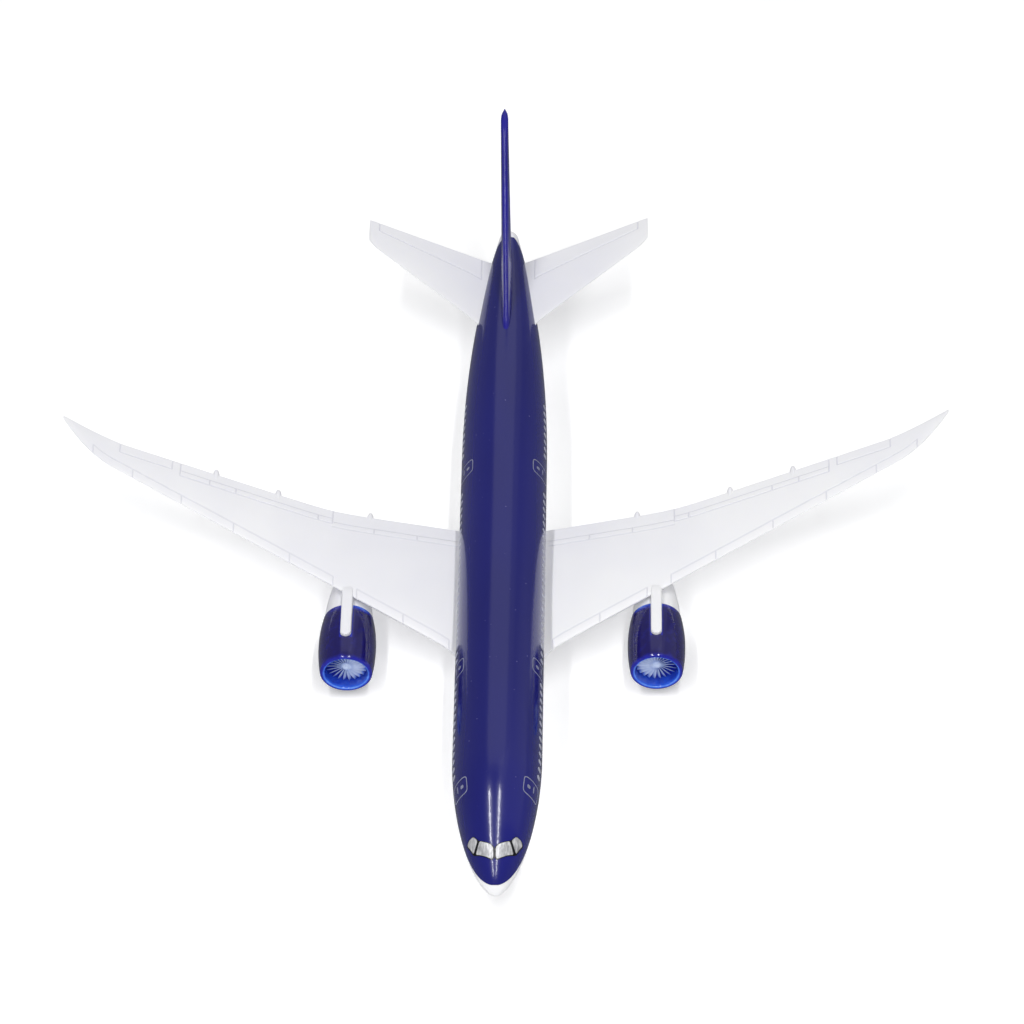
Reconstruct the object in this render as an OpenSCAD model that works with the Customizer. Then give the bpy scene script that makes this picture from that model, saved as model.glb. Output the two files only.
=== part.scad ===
// Twin-engine desktop airliner model, 1:400 class, die-cast and moulded plastic.
// Nose towards -Y, +X to the port wing, +Z up, wheels on Z = 0, lengths in mm.

/* [Fuselage] */
// Length of the fuselage from station 0, just behind the nose tip, to the tail cone
fuselage_length = 142; // [141.5:0.5:143]
// Half width of the round barrel
barrel_r = 7.2; // [7.1:0.05:7.3]
// Height of the barrel's middle above the ground
barrel_height = 12.6; // [12.4:0.1:13]
// Wall of the two fuselage shells
shell_wall = 0.9; // [0.8:0.05:1.1]
// Height of the parting line below the barrel's middle
parting_drop = 1.9; // [1.8:0.05:2]

/* [Wings] */
// Tip to tip span
span = 150.2; // [149.6:0.2:150.8]
// Dihedral of the wings in degrees
dihedral = 5.8; // [5.5:0.1:6.2]
// Thickness of the wing at its root
wing_root_t = 2.6; // [2.4:0.1:2.7]
// Thickness of the wing near its tip
wing_tip_t = 0.8; // [0.7:0.05:0.9]

/* [Tail] */
// Tip to tip span of the tailplanes
tail_span = 48.8; // [48:0.2:50]
// Height of the fin's tip above the barrel's middle
fin_top = 31.7; // [31:0.1:32]

/* [Engines] */
// Distance of each engine from the centreline
engine_x = 25.5; // [25.2:0.1:25.8]
// Distance of the engine's axis below the barrel's middle
engine_drop = 6.6; // [6.5:0.05:6.7]
// Largest radius of the cowl
cowl_r = 4.75; // [4.6:0.05:4.8]
// Number of fan blades
fan_blades = 22; // [16:2:26]

/* [Undercarriage] */
// Radius of a main wheel
main_wheel_r = 1.7; // [1.6:0.05:1.75]
// Radius of a nose wheel
nose_wheel_r = 1.3; // [1.2:0.05:1.35]
// Half distance between the two main legs
main_track = 12.2; // [12:0.1:12.5]
// Radius of every wheel axle
axle_r = 0.35; // [0.33:0.01:0.36]

/* [Fittings] */
// Radius of the display stand socket
stand_r = 1.6; // [1.5:0.05:1.7]
// Depth of the display stand socket
stand_depth = 3.8; // [3.5:0.1:4]
// Radius of the screw shanks
screw_r = 0.75; // [0.7:0.05:0.8]

/* [Hidden] */
$fn = 48;

nose_tip = -0.64; // station of the nose tip; station 0 is a datum just behind it
nose_start = nose_tip + 0.12; // station of the first ring of the nose
fin_tip_station = 143; // the fin's aft corner is the rearmost point of the model
origin_station = (nose_start + fin_tip_station) / 2; // the origin sits halfway
port = 1;
starboard = -1;

nose_z = -3.43; // nose tip below the barrel's middle
crown_z = 7.4; // top and bottom of the barrel
keel_z = -7.45;
nose_len = 24.2; // stations where the nose reaches the barrel: in plan, on top and below
crown_len = 21;
chin_len = 23;
taper_start = 88; // where the tail starts to taper in plan
crown_start = 95; // where the crown starts to fall
keel_start = 86; // where the belly starts to rise
tail_r = 1.3; // half width at the tail cone's end
tail_top_z = 4.3;
tail_keel_z = 2.0;
tail_cap = 1.4; // length of the rounded end of the tail cone
solid_nose = 13; // the nose and the tail end are solid
solid_tail = 126;
parting_rise_start = 118; // the parting line climbs from here to the top of the tail cone
parting_rise_end = 139.6;
ring_points = 32;

wing_inner_x = 4.9; // inner end of the wing skin
wing_root_x = 7.2;
wing_root_z = -3.6; // wing reference plane at the root, from the barrel's middle
tip_x = span / 2;
wing_tab_x = 1;
wing_tab = [57, 70]; // stations of the root tab
wing_tab_z = [-4.5, -3.3];
fairing_x = [22.4, 38, 48.6]; // flap track fairings
fit_gap = 0.04; // gap round each part that is let into another

tail_root_x = 1.2;
tail_root_z = 3.2;
tail_rise = 6.1; // dihedral of the tailplanes in degrees
fin_root_z = 4.6;
fin_root_t = 2.8;
fin_taper = 0.8; // the fin's tip is thinner than its root by this much

screw_stations = [27, 98];
screw_head_r = 1.4;
screw_head_h = 0.7;
boss_r = 2;
fairing_screw_stations = [51, 79];
stand_station = 63;
stand_boss_r = 2.7;
belly_z = -8.9; // lowest line of the belly fairing

cowl_front = 48;
cowl_back = 59.6;
fan_station = 49.9;
spinner_r = 0.85;
duct_r = 3.5;

nose_gear_station = 14.2;
main_gear_station = 74;
bogie_half = 1.95; // each main axle lies this far from the leg
axle_gap = 0.05; // running clearance of each axle in its leg
nose_axle_len = 4;
main_axle_len = 4.6;
main_wheel_w = 1.35;
nose_wheel_w = 0.95;

// ---- small helpers ------------------------------------------------------------------------

function softstep(t) = t <= 0 ? 0 : t >= 1 ? 1 : t;
function softmax(a, b, k) = max(a, b) + k * ln(1 + exp(-abs(a - b) / k));

// Skin through a list of closed rings with equal numbers of points, capped at both ends.
module skin(rings) {
    n = len(rings[0]);
    m = len(rings);
    points = [for (r = rings) for (p = r) p];
    sides = [for (i = [0 : m - 2]) for (j = [0 : n - 1])
        let (k = (j + 1) % n)
        each [[i * n + j, (i + 1) * n + k, (i + 1) * n + j], [i * n + j, i * n + k, (i + 1) * n + k]]];
    first = [for (j = [1 : n - 2]) [0, j + 1, j]];
    last = [for (j = [1 : n - 2]) [(m - 1) * n, (m - 1) * n + j, (m - 1) * n + j + 1]];
    polyhedron(points = points, faces = concat(first, sides, last), convexity = 8);
}

// Moves from station and barrel heights to the model's own frame.
module in_airframe() {
    translate([0, -origin_station, barrel_height]) children();
}

// Copies a port side shape to either side.
module on_side(side) {
    mirror([side == starboard ? 1 : 0, 0, 0]) children();
}

// A round bar along X, centred on [y, z].
module cross_bar(y, z, r, length) {
    translate([-length / 2, y, z]) rotate([0, 90, 0]) cylinder(r = r, h = length);
}

// ---- fuselage -----------------------------------------------------------------------------

function nose_curve(s, reach, power) =
    pow(1 - pow(1 - softstep((s - nose_tip) / (reach - nose_tip)), 2), power);
function tail_fall(s, start, power) = pow(softstep((s - start) / (fuselage_length - start)), power);
function end_cap(s) = sqrt(max(0.02, 1 - pow(softstep((s - fuselage_length + tail_cap) / tail_cap), 2)));

function half_width(s) = s < taper_start
    ? barrel_r * nose_curve(s, nose_len, 0.57)
    : (tail_r + (barrel_r - tail_r) * (1 - tail_fall(s, taper_start, 2.15))) * end_cap(s);
function top_z(s) = s < crown_start
    ? nose_z + (crown_z - nose_z) * nose_curve(s, crown_len, 0.69)
    : tail_top_z + (crown_z - tail_top_z) * (1 - tail_fall(s, crown_start, 2));
function bottom_z(s) = s < keel_start
    ? nose_z + (keel_z - nose_z) * nose_curve(s, chin_len, 0.46)
    : keel_z + (tail_keel_z - keel_z) * tail_fall(s, keel_start, 1.6);

// An elliptical ring of the fuselage at station s, set in by a wall.
function barrel_ring(s, inset) =
    let (w = half_width(s) - inset)
    let (mid = (top_z(s) + bottom_z(s)) / 2)
    let (h = (top_z(s) - bottom_z(s)) / 2 * end_cap(s) - inset)
    [for (i = [0 : ring_points - 1])
        let (a = 360 * i / ring_points)
        [w * cos(a), s, mid + h * sin(a)]];

nose_stations = concat([nose_start], [for (i = [1.4 : 0.9 : 9])
    nose_tip + (nose_len - nose_tip) * (1 - cos(9.6 * i))]);
barrel_stations = [for (s = [25 : 15.6 : 90]) s];
tail_stations = [for (i = [1 : 11]) 87.2 + 4.85 * i];
cap_stations = [fuselage_length - 0.8, fuselage_length - 0.3, fuselage_length];

module fuselage_solid() {
    stations = concat(nose_stations, barrel_stations, tail_stations, cap_stations);
    skin([for (s = stations) barrel_ring(s, 0)]);
}

module fuselage_hollow() {
    stations = [solid_nose, 16, 20, 26, 50, 74, 90, 100, 108, 115, 121, solid_tail];
    skin([for (s = stations) barrel_ring(s, shell_wall)]);
}

// Everything above the parting surface.
module above_parting() {
    rise_top = tail_top_z + 0.1;
    rotate([90, 0, 90]) translate([0, 0, -20]) linear_extrude(40)
        polygon([[-5, -parting_drop], [parting_rise_start, -parting_drop],
            [parting_rise_end, rise_top], [parting_rise_end, 20], [-5, 20]]);
}

module screw_boss_up(s) {
    translate([0, s, -parting_drop]) cylinder(r = boss_r, h = crown_z + parting_drop - 0.5);
}

module screw_boss_down(s) {
    translate([0, s, keel_z + 0.4]) cylinder(r = boss_r, h = -keel_z - parting_drop - 0.4);
}

// Blue die-cast shell: crown, sides and most of the nose.
module fuselage_upper() {
    color("midnightblue") in_airframe() difference() {
        intersection() {
            union() {
                difference() {
                    fuselage_solid();
                    fuselage_hollow();
                }
                for (s = screw_stations) screw_boss_up(s);
            }
            above_parting();
        }
        for (s = screw_stations)
            translate([0, s, -parting_drop - 1]) cylinder(r = screw_r, h = 6);
        fin_solid(fit_gap);
        for (side = [port, starboard]) on_side(side) tailplane_solid(fit_gap);
    }
}

// White shell: chin, belly and tail cone.
module fuselage_lower() {
    color("whitesmoke") in_airframe() difference() {
        union() {
            difference() {
                fuselage_solid();
                fuselage_hollow();
                above_parting();
            }
            for (s = screw_stations) screw_boss_down(s);
        }
        for (s = screw_stations) {
            translate([0, s, keel_z - 1]) cylinder(r = screw_r + 0.1, h = 8);
            translate([0, s, keel_z - 1]) cylinder(r = screw_head_r + 0.1, h = 1 + screw_head_h + 0.5);
        }
        for (side = [port, starboard]) on_side(side) wing_solid(fit_gap);
        translate([0, stand_station, keel_z - 1]) cylinder(r = stand_boss_r + fit_gap, h = 3);
        for (s = fairing_screw_stations)
            translate([0, s, keel_z - 1]) cylinder(r = screw_r, h = 3);
        for (side = [port, starboard]) on_side(side) tailplane_solid(fit_gap);
        translate([0, nose_gear_station, keel_z - 1]) cylinder(r = nose_peg_r, h = 4);
    }
}

// ---- belly fairing ------------------------------------------------------------------------

belly_front = 41;
belly_back = 90;
belly_square = 0.8; // below 1 the rings are fuller than an ellipse

function belly_bulge(s) = pow(sin(180 * softstep((s - belly_front) / (belly_back - belly_front))), 0.6);
function belly_ring(s) =
    let (w = 3.2 + 4.4 * belly_bulge(s))
    let (low = keel_z + 0.45 + (belly_z - keel_z - 0.45) * belly_bulge(s))
    let (high = -5.4 + 0.9 * belly_bulge(s))
    [for (i = [0 : ring_points - 1])
        let (a = 360 * i / ring_points)
        let (c = cos(a))
        let (d = sin(a))
        [w * sign(c) * pow(abs(c), belly_square), s,
            (high + low) / 2 + (high - low) / 2 * sign(d) * pow(abs(d), belly_square)]];

module belly_fairing() {
    color("whitesmoke") in_airframe() difference() {
        union() {
            difference() {
                skin([for (t = [0.03 : 0.094 : 0.98])
                    belly_ring(belly_front + t * (belly_back - belly_front))]);
                fuselage_solid();
                for (side = [port, starboard]) on_side(side) wing_solid(fit_gap);
            }
            translate([0, stand_station, belly_z + 0.3])
                cylinder(r = stand_boss_r, h = -4.6 - belly_z - 0.3);
        }
        translate([0, stand_station, belly_z - 1]) cylinder(r = stand_r, h = stand_depth + 1);
        for (s = fairing_screw_stations) {
            translate([0, s, belly_z - 1]) cylinder(r = screw_r + 0.1, h = 4);
            translate([0, s, belly_z - 1]) cylinder(r = screw_head_r, h = 1 + screw_head_h);
        }
    }
}

// ---- lifting surfaces ---------------------------------------------------------------------

// Half thickness of a round-nosed section along its chord, 1 at its thickest.
function section_t(u) = 1.55 * sqrt(u) - 0.95 * u - 0.52 * u * u * u + 0.07;
chord_steps = [0, 0.01, 0.04, 0.1, 0.2, 0.32, 0.46, 0.6, 0.74, 0.87, 0.96, 1];
function section_loop(lower) =
    let (n = len(chord_steps))
    concat([for (i = [0 : n - 1]) [chord_steps[i], 1 - lower]],
        [for (i = [n - 1 : -1 : 0]) [chord_steps[i], -lower]]);

function wing_le(x) = 53.6 + 0.627 * (x - 13.2) - 1.2 * exp(-(x - wing_root_x) / 0.9)
    + 5 * pow(max(0, x - 66) / (tip_x - 66), 2);
function wing_te(x) = softmax(76.9 + 0.119 * (x - 7.9), 85.5 + 0.352 * (x - 46), 0.45)
    + 2.3 * pow(max(0, x - 64) / (tip_x - 64), 1.5);
function wing_z(x) = wing_root_z + (x - wing_root_x) * tan(dihedral);
function wing_t(x) = wing_tip_t + (wing_root_t - wing_tip_t) * pow(1 - min(1, (x - wing_inner_x) / 62), 1.2);

function wing_ring(x, grow) =
    let (lead = wing_le(x) - grow)
    let (chord = wing_te(x) + grow - lead)
    let (t = (wing_t(x) + 2 * grow) * (x > 72 ? sqrt(max(0.15, (tip_x + 0.4 - x) / 3.5)) : 1))
    [for (p = section_loop(0.4)) [x, lead + chord * p[0], wing_z(x) + t * p[1] * section_t(p[0])]];

wing_stations = [7.2, 8, 9.2, 12, 18, 24, 27, 30, 34, 42, 50, 58, 66, 69, 71.5, 73.4, 74.6, tip_x];

module wing_solid(grow) {
    inner = [for (x = [wing_inner_x]) [for (p = wing_ring(wing_root_x, grow))
        [x, p[1], p[2] - (wing_root_x - x) * tan(dihedral)]]];
    skin(concat(inner, [for (x = wing_stations) wing_ring(x, grow)]));
    translate([wing_tab_x, wing_tab[0] - grow, wing_tab_z[0] - grow])
        cube([wing_inner_x - wing_tab_x + 0.5, wing_tab[1] - wing_tab[0] + 2 * grow,
            wing_tab_z[1] - wing_tab_z[0] + 2 * grow]);
}

// The rounded tail of a flap track fairing under the trailing edge.
module track_fairing(x) {
    end = wing_te(x) + 1.35;
    hull() {
        translate([x, end - 0.7, wing_z(x) - 0.15]) sphere(r = 0.65, $fn = 16);
        translate([x, end - 6.5, wing_z(x) - 0.75]) sphere(r = 0.7, $fn = 16);
    }
}

main_peg_r = 0.8;
main_peg_h = 1;

module wing(side) {
    color("white") in_airframe() on_side(side) difference() {
        union() {
            wing_solid(0);
            for (x = fairing_x) track_fairing(x);
        }
        translate([main_track, main_gear_station, wing_z(main_track) - 3.2])
            cylinder(r = main_peg_r, h = main_peg_h + 2.2);
    }
}

function tail_le(x) = 119.6 + 0.93 * (x - 5.4) - 0.9 * exp(-(x - 4.5) / 0.8)
    + 0.8 * pow(max(0, x - 22.5) / (tail_span / 2 - 22.5), 2);
function tail_te(x) = 134 + 0.415 * (x - 2.8);
function tail_z(x) = tail_root_z + (x - tail_root_x) * tan(tail_rise);
function tail_ring(x, grow) =
    let (lead = tail_le(max(x, 3.2)) - grow)
    let (chord = tail_te(x) + grow - lead)
    let (t = 1.35 - 0.55 * x / 24 + 2 * grow)
    [for (p = section_loop(0.5)) [x, lead + chord * p[0], tail_z(x) + t * p[1] * section_t(p[0])]];

module tailplane_solid(grow) {
    skin([for (x = [tail_root_x, 3.2, 4.2, 5.4, 8, 16, 22.5, 23.6, tail_span / 2]) tail_ring(x, grow)]);
}

module tailplane(side) {
    color("white") in_airframe() on_side(side) tailplane_solid(0);
}

function fin_le(z) = 117 + 0.88 * (z - 7) - 4.2 * exp(-(z - 6.4) / 0.9);
function fin_te(z) = z < 7 ? 134.6 : 134.6 + (fin_tip_station - 134.6) * (z - 7) / (fin_top - 7);
function fin_ring(z, grow) =
    let (lead = (z < 6.6 ? fin_le(6.6) : fin_le(z)) - grow + 0.9 * pow(max(0, z - fin_top + 1.5), 2))
    let (chord = fin_te(z) + grow - lead)
    let (t = fin_root_t - fin_taper * (z - fin_root_z) / (fin_top - fin_root_z) + 2 * grow)
    [for (p = section_loop(0.5)) [-t * p[1] * section_t(p[0]), lead + chord * p[0], z]];

module fin_solid(grow) {
    skin([for (z = [fin_root_z, 6.6, 7, 7.6, 8.4, 10, 16, 24, fin_top - 1.5,
        fin_top - 0.6, fin_top]) fin_ring(z, grow)]);
}

module fin() {
    color("mediumblue") in_airframe() fin_solid(0);
}

// ---- engines ------------------------------------------------------------------------------

// Turns an outline of [radius, station] about the engine's axis.
module engine_turn(side) {
    in_airframe() on_side(side) translate([engine_x, 0, -engine_drop]) rotate([90, 0, 0])
        mirror([0, 0, 1]) rotate_extrude($fn = 64) children();
}

module cowl_outline() {
    polygon(concat(
        [[duct_r + 0.05, cowl_back - 0.6], [duct_r + 0.05, fan_station + 0.5], [duct_r, cowl_front + 0.7]],
        [for (a = [150 : -20 : 10]) [duct_r + 0.42 + 0.42 * cos(a), cowl_front + 0.45 - 0.45 * sin(a)]],
        [for (t = [0.1 : 0.1 : 1]) [duct_r + 0.84 + (cowl_r - duct_r - 0.84) * sin(90 * pow(t, 0.8)),
            cowl_front + 0.5 + 5.2 * t]],
        [for (t = [0.2 : 0.2 : 1]) [cowl_r - 0.6 * t * t, cowl_front + 5.7 + 5.9 * t]]));
}

module engine_cowl(side) {
    color("navy") difference() {
        engine_turn(side) cowl_outline();
        in_airframe() on_side(side) pylon_solid(fit_gap);
    }
}

pylon_front = 52.2;
pylon_half = 0.9;
pylon_top = -1.25;

// The long finger on top of the cowl that carries the engine under the wing.
module pylon_solid(grow) {
    r = pylon_half + grow;
    translate([engine_x, 0, 0]) {
        translate([0, pylon_front + pylon_half, pylon_top - 3]) cylinder(r = r, h = 3 + grow);
        translate([-r, pylon_front + pylon_half, pylon_top - 3]) cube([2 * r, 17, 3 + grow]);
    }
}

module engine_core(side) {
    color("white") difference() {
        union() {
            engine_turn(side) polygon([[0, fan_station + 0.9], [duct_r, fan_station + 0.9],
                [duct_r, cowl_back - 0.6], [cowl_r - 0.75, cowl_back + 0.02], [cowl_r - 0.85, 62],
                [3.5, 64.6], [3, 66.4], [2.3, 66.4], [2.1, 69], [1.2, 69], [0.5, 71.2], [0, 71.4]]);
            in_airframe() on_side(side) difference() {
                pylon_solid(0);
                translate([engine_x, 0, -engine_drop]) rotate([-90, 0, 0])
                    cylinder(r = duct_r, h = 80);
            }
        }
        in_airframe() on_side(side) wing_solid(fit_gap);
        in_airframe() on_side(side) track_fairing(fairing_x[0]);
    }
}

module fan_blade(angle) {
    rotate([0, 0, angle]) rotate([32, 0, 0]) translate([0.5, -0.18, -0.22])
        cube([duct_r - 0.75, 0.36, 0.44]);
}

// Fan disc with raised blades and a round spinner.
module fan(side) {
    color("lightsteelblue") in_airframe() on_side(side)
        translate([engine_x, fan_station, -engine_drop]) rotate([90, 0, 0]) {
            translate([0, 0, -0.9]) cylinder(r = duct_r, h = 0.8);
            for (i = [0 : fan_blades - 1]) fan_blade(360 * i / fan_blades);
            translate([0, 0, -0.3]) intersection() {
                sphere(r = spinner_r, $fn = 32);
                cylinder(r = 2, h = 1);
            }
            translate([0, 0, -0.3]) cylinder(r = spinner_r, h = 0.31);
        }
}

// ---- undercarriage ------------------------------------------------------------------------

nose_peg_r = 0.8;
leg_w = 0.9;

module nose_leg() {
    top = bottom_z(nose_gear_station) + barrel_height;
    y = nose_gear_station - origin_station;
    color("silver") difference() {
        union() {
            translate([0, y, nose_wheel_r]) cylinder(r = 0.55, h = top - nose_wheel_r + 0.4);
            translate([0, y, top - 0.05]) cylinder(r = nose_peg_r, h = 1.6);
            cross_bar(y, nose_wheel_r, 0.8, leg_w);
            translate([-0.25, y - 2.2, top - 1.3]) cube([0.5, 2.2, 0.5]);
        }
        cross_bar(y, nose_wheel_r, axle_r + axle_gap, 3);
    }
}

module nose_axle() {
    color("dimgray") cross_bar(nose_gear_station - origin_station, nose_wheel_r, axle_r, nose_axle_len);
}

// One wheel: tyre with a rounded tread, dished hub, and a bore for its axle.
module wheel(r, w, bore) {
    rotate([0, 90, 0]) rotate_extrude($fn = 48) polygon([[bore, -w * 0.32], [r * 0.55, -w * 0.32],
        [r * 0.62, -w * 0.5], [r * 0.86, -w * 0.5], [r * 0.97, -w * 0.34], [r, 0], [r * 0.97, w * 0.34],
        [r * 0.86, w * 0.5], [r * 0.62, w * 0.5], [r * 0.55, w * 0.32], [bore, w * 0.32]]);
}

// The two wheels that share an axle.
module wheel_pair(x, y, r, w, length) {
    for (side = [-1, 1])
        translate([x + side * (length - w) / 2, y, r]) wheel(r, w, axle_r);
}

module nose_wheels() {
    color("dimgray") wheel_pair(0, nose_gear_station - origin_station, nose_wheel_r,
        nose_wheel_w, nose_axle_len);
}

module main_leg(side) {
    y = main_gear_station - origin_station;
    top = wing_z(main_track) - 1 + barrel_height;
    color("silver") on_side(side) translate([main_track, 0, 0]) difference() {
        union() {
            translate([0, y, main_wheel_r]) cylinder(r = 0.7, h = top - main_wheel_r + 0.3);
            translate([0, y, top - 0.4]) cylinder(r = main_peg_r, h = main_peg_h + 0.2);
            translate([-0.4, y - bogie_half, main_wheel_r - 0.45]) cube([0.8, 2 * bogie_half, 0.9]);
            for (i = [-1, 1]) cross_bar(y + i * bogie_half, main_wheel_r, 0.8, leg_w);
        }
        for (i = [-1, 1]) cross_bar(y + i * bogie_half, main_wheel_r, axle_r + axle_gap, 3);
    }
}

function main_axle_y(end) = main_gear_station - origin_station + end * bogie_half;

module main_axle(side, end) {
    color("dimgray") on_side(side) translate([main_track, 0, 0])
        cross_bar(main_axle_y(end), main_wheel_r, axle_r, main_axle_len);
}

module main_wheels(side, end) {
    color("dimgray") on_side(side)
        wheel_pair(main_track, main_axle_y(end), main_wheel_r, main_wheel_w, main_axle_len);
}

// ---- fasteners ----------------------------------------------------------------------------

// A cross-head screw seen from below, with its head's face at the origin.
module screw(length) {
    difference() {
        cylinder(r = screw_head_r, h = screw_head_h);
        for (a = [0, 90]) rotate([0, 0, a]) translate([-0.7, -0.12, -0.1]) cube([1.4, 0.24, 0.4]);
    }
    cylinder(r = screw_r, h = length);
}

module case_screws() {
    color("silver") in_airframe() for (s = screw_stations)
        translate([0, s, keel_z + 0.5]) screw(8);
}

module fairing_screws() {
    color("silver") in_airframe() for (s = fairing_screw_stations)
        translate([0, s, belly_z]) screw(3.2);
}

fuselage_upper();
fuselage_lower();
belly_fairing();
fin();
wing(port);  // wing_left
wing(starboard);  // wing_right
tailplane(port);  // tailplane_left
tailplane(starboard);  // tailplane_right
engine_cowl(port);  // engine_cowl_left
engine_cowl(starboard);  // engine_cowl_right
engine_core(port);  // engine_core_left
engine_core(starboard);  // engine_core_right
fan(port);  // fan_left
fan(starboard);  // fan_right
nose_leg();
nose_axle();
nose_wheels();
main_leg(port);  // main_leg_left
main_leg(starboard);  // main_leg_right
main_axle(port, -1);  // main_axle_left_front
main_axle(port, 1);  // main_axle_left_rear
main_axle(starboard, -1);  // main_axle_right_front
main_axle(starboard, 1);  // main_axle_right_rear
main_wheels(port, -1);  // main_wheels_left_front
main_wheels(port, 1);  // main_wheels_left_rear
main_wheels(starboard, -1);  // main_wheels_right_front
main_wheels(starboard, 1);  // main_wheels_right_rear
case_screws();
fairing_screws();
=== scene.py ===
"""Looks of the twin-engine desktop airliner model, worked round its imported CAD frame."""
import math

import bmesh
import bpy
import numpy as np
from mathutils import Matrix, Vector


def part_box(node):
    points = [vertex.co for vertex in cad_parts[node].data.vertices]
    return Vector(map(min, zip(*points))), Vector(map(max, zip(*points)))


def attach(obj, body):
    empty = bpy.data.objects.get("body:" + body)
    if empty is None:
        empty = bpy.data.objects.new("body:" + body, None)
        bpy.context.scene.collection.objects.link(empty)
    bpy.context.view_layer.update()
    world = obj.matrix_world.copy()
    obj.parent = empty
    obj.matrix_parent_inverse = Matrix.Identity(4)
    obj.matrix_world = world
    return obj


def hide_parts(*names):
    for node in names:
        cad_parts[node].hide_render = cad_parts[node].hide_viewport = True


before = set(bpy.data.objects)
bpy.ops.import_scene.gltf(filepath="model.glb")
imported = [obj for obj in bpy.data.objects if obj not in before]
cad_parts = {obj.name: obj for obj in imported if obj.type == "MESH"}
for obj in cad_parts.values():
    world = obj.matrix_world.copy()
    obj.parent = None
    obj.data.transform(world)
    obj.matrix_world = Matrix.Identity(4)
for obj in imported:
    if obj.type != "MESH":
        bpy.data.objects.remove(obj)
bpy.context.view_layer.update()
MM = 0.001

# ---- driving sizes, in millimetres; stations count back from the nose --------------------------

NOSE_TIP = -0.64                    # station 0 is a datum just behind the nose tip
NOSE_START = NOSE_TIP + 0.12
FIN_TOP = 31.7
ORIGIN_STATION = NOSE_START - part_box("fuselage_lower")[0][1] / MM
BARREL_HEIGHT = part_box("fin")[1][2] / MM - FIN_TOP
HALF_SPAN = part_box("wing_left")[1][0] / MM
HALF_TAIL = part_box("tailplane_left")[1][0] / MM
FIN_TIP_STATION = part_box("fin")[1][1] / MM + ORIGIN_STATION

FUSELAGE_LENGTH = 142.0
BARREL_R = 7.2
WALL = 0.9
PARTING_Z = -1.9
PARTING_RISE = (118.0, 139.6)
NOSE_Z = -3.43
CROWN_Z = 7.4
KEEL_Z = -7.45
NOSE_LEN = 24.2
CROWN_LEN = 21.0
CHIN_LEN = 23.0
TAPER_START = 88.0
CROWN_START = 95.0
KEEL_START = 86.0
TAIL_R = 1.3
TAIL_TOP_Z = 4.3
TAIL_KEEL_Z = 2.0
TAIL_CAP = 1.4
HOLLOW = (13.0, 126.0)
TAIL_FINE = 136.0                   # rings stand closer together beyond this station
SHELL_EDGE = 0.09                   # rounding of the shells' edges
SHELL_GAP = 0.04                    # from each shell's rounded edge to the parting line

WING_ROOT_X = 7.2
WING_INNER_X = 4.9
WING_ROOT_Z = -3.6
WING_ROOT_T = 2.6
WING_TIP_T = 0.8
DIHEDRAL = math.tan(math.radians(5.8))
FAIRING_X = (22.4, 38.0, 48.6)
CANOE = (7.8, 0.68, 1.33)           # length, radius, reach behind the trailing edge
TAB_X = 5.5                         # half the slot in the lower shell that takes both wings' tabs
TAB_RUN = (57.0, 70.0)
TAB_Z = (-4.5, -3.3)

TAIL_ROOT_X = 1.2
TAIL_ROOT_Z = 3.2
TAIL_RISE = math.tan(math.radians(6.1))
TAIL_HELD_X = 3.2                   # nearer the middle the chord stays the same
ELEVATOR = (4.6, 22.6)
ELEVATOR_SHARE = 0.3                # of the chord
FIN_ROOT_Z = 4.6
FIN_ROOT_T = 2.8
FIN_TAPER = 0.8
RUDDER = (8.2, 28.6)
RUDDER_SHARE = 0.33

ENGINE_X = 25.5
ENGINE_Z = -6.6
COWL_R = 4.75
DUCT_R = 3.5
COWL_FRONT = 48.0
COWL_BACK = 59.6
FAN_STATION = 49.9
FAN_BLADES = 22
BLADE_GRID = (9, 20)                # rings along a blade, points in each
SPINNER_R = 0.85
PYLON_FRONT = 52.2
PYLON_HALF = 0.9
PYLON_TOP = -1.25

BELLY = (41.0, 90.0)
BELLY_Z = -8.9
STAND_STATION = 63.0
STAND_R = 1.6
STAND_DEPTH = 3.8
FAIRING_SCREWS = (51.0, 79.0)
CASE_SCREWS = (27.0, 98.0)

NOSE_GEAR_STATION = 14.2
NOSE_WHEEL = (1.3, 0.95, 4.0)       # radius, width, length of its axle
MAIN_GEAR = (12.2, 74.0)            # distance from the centreline, station
MAIN_WHEEL = (1.7, 1.35, 4.6)
BOGIE_HALF = 1.95
AXLE_R = 0.35
AXLE_GAP = 0.05
PEG_R = 0.8
SCREW_HEAD = (1.4, 0.7)             # radius, height
SCREW_R = 0.75
BOSS_R = 2.0
STAND_BOSS_R = 2.7
GAP = 0.04                          # round each part that is let into another
MERGE = 2e-6                        # points closer than this, in metres, are one

PORT = 1
STARBOARD = -1
SIDES = {"left": PORT, "right": STARBOARD}


# ---- small helpers -----------------------------------------------------------------------------

def clamp01(t):
    return np.clip(t, 0.0, 1.0)


def smooth(t):
    """Cubic ease from 0 to 1."""
    t = clamp01(t)
    return t * t * (3 - 2 * t)


def ridge(d, centre, half, edge=0.1):
    """1 within half of the centre, easing to 0 over edge."""
    return 1 - smooth((np.abs(d - centre) - half) / edge)


def to_world(points):
    """Barrel frame in mm (x, station, height) to the model's frame in metres."""
    p = np.asarray(points, dtype=float)
    return (p + np.array([0.0, -ORIGIN_STATION, BARREL_HEIGHT])) * MM


def grid_quads(rows, cols, wrap_cols=False, wrap_rows=False, flip=False):
    """Corner numbers of the quads of a rows by cols grid of points."""
    r = np.arange(rows if wrap_rows else rows - 1)
    c = np.arange(cols if wrap_cols else cols - 1)
    r, c = np.meshgrid(r, c, indexing="ij")
    r2 = (r + 1) % rows
    c2 = (c + 1) % cols
    quads = np.stack([r * cols + c, r2 * cols + c, r2 * cols + c2, r * cols + c2], axis=-1)
    quads = quads.reshape(-1, 4)
    return quads[:, ::-1] if flip else quads


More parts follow.
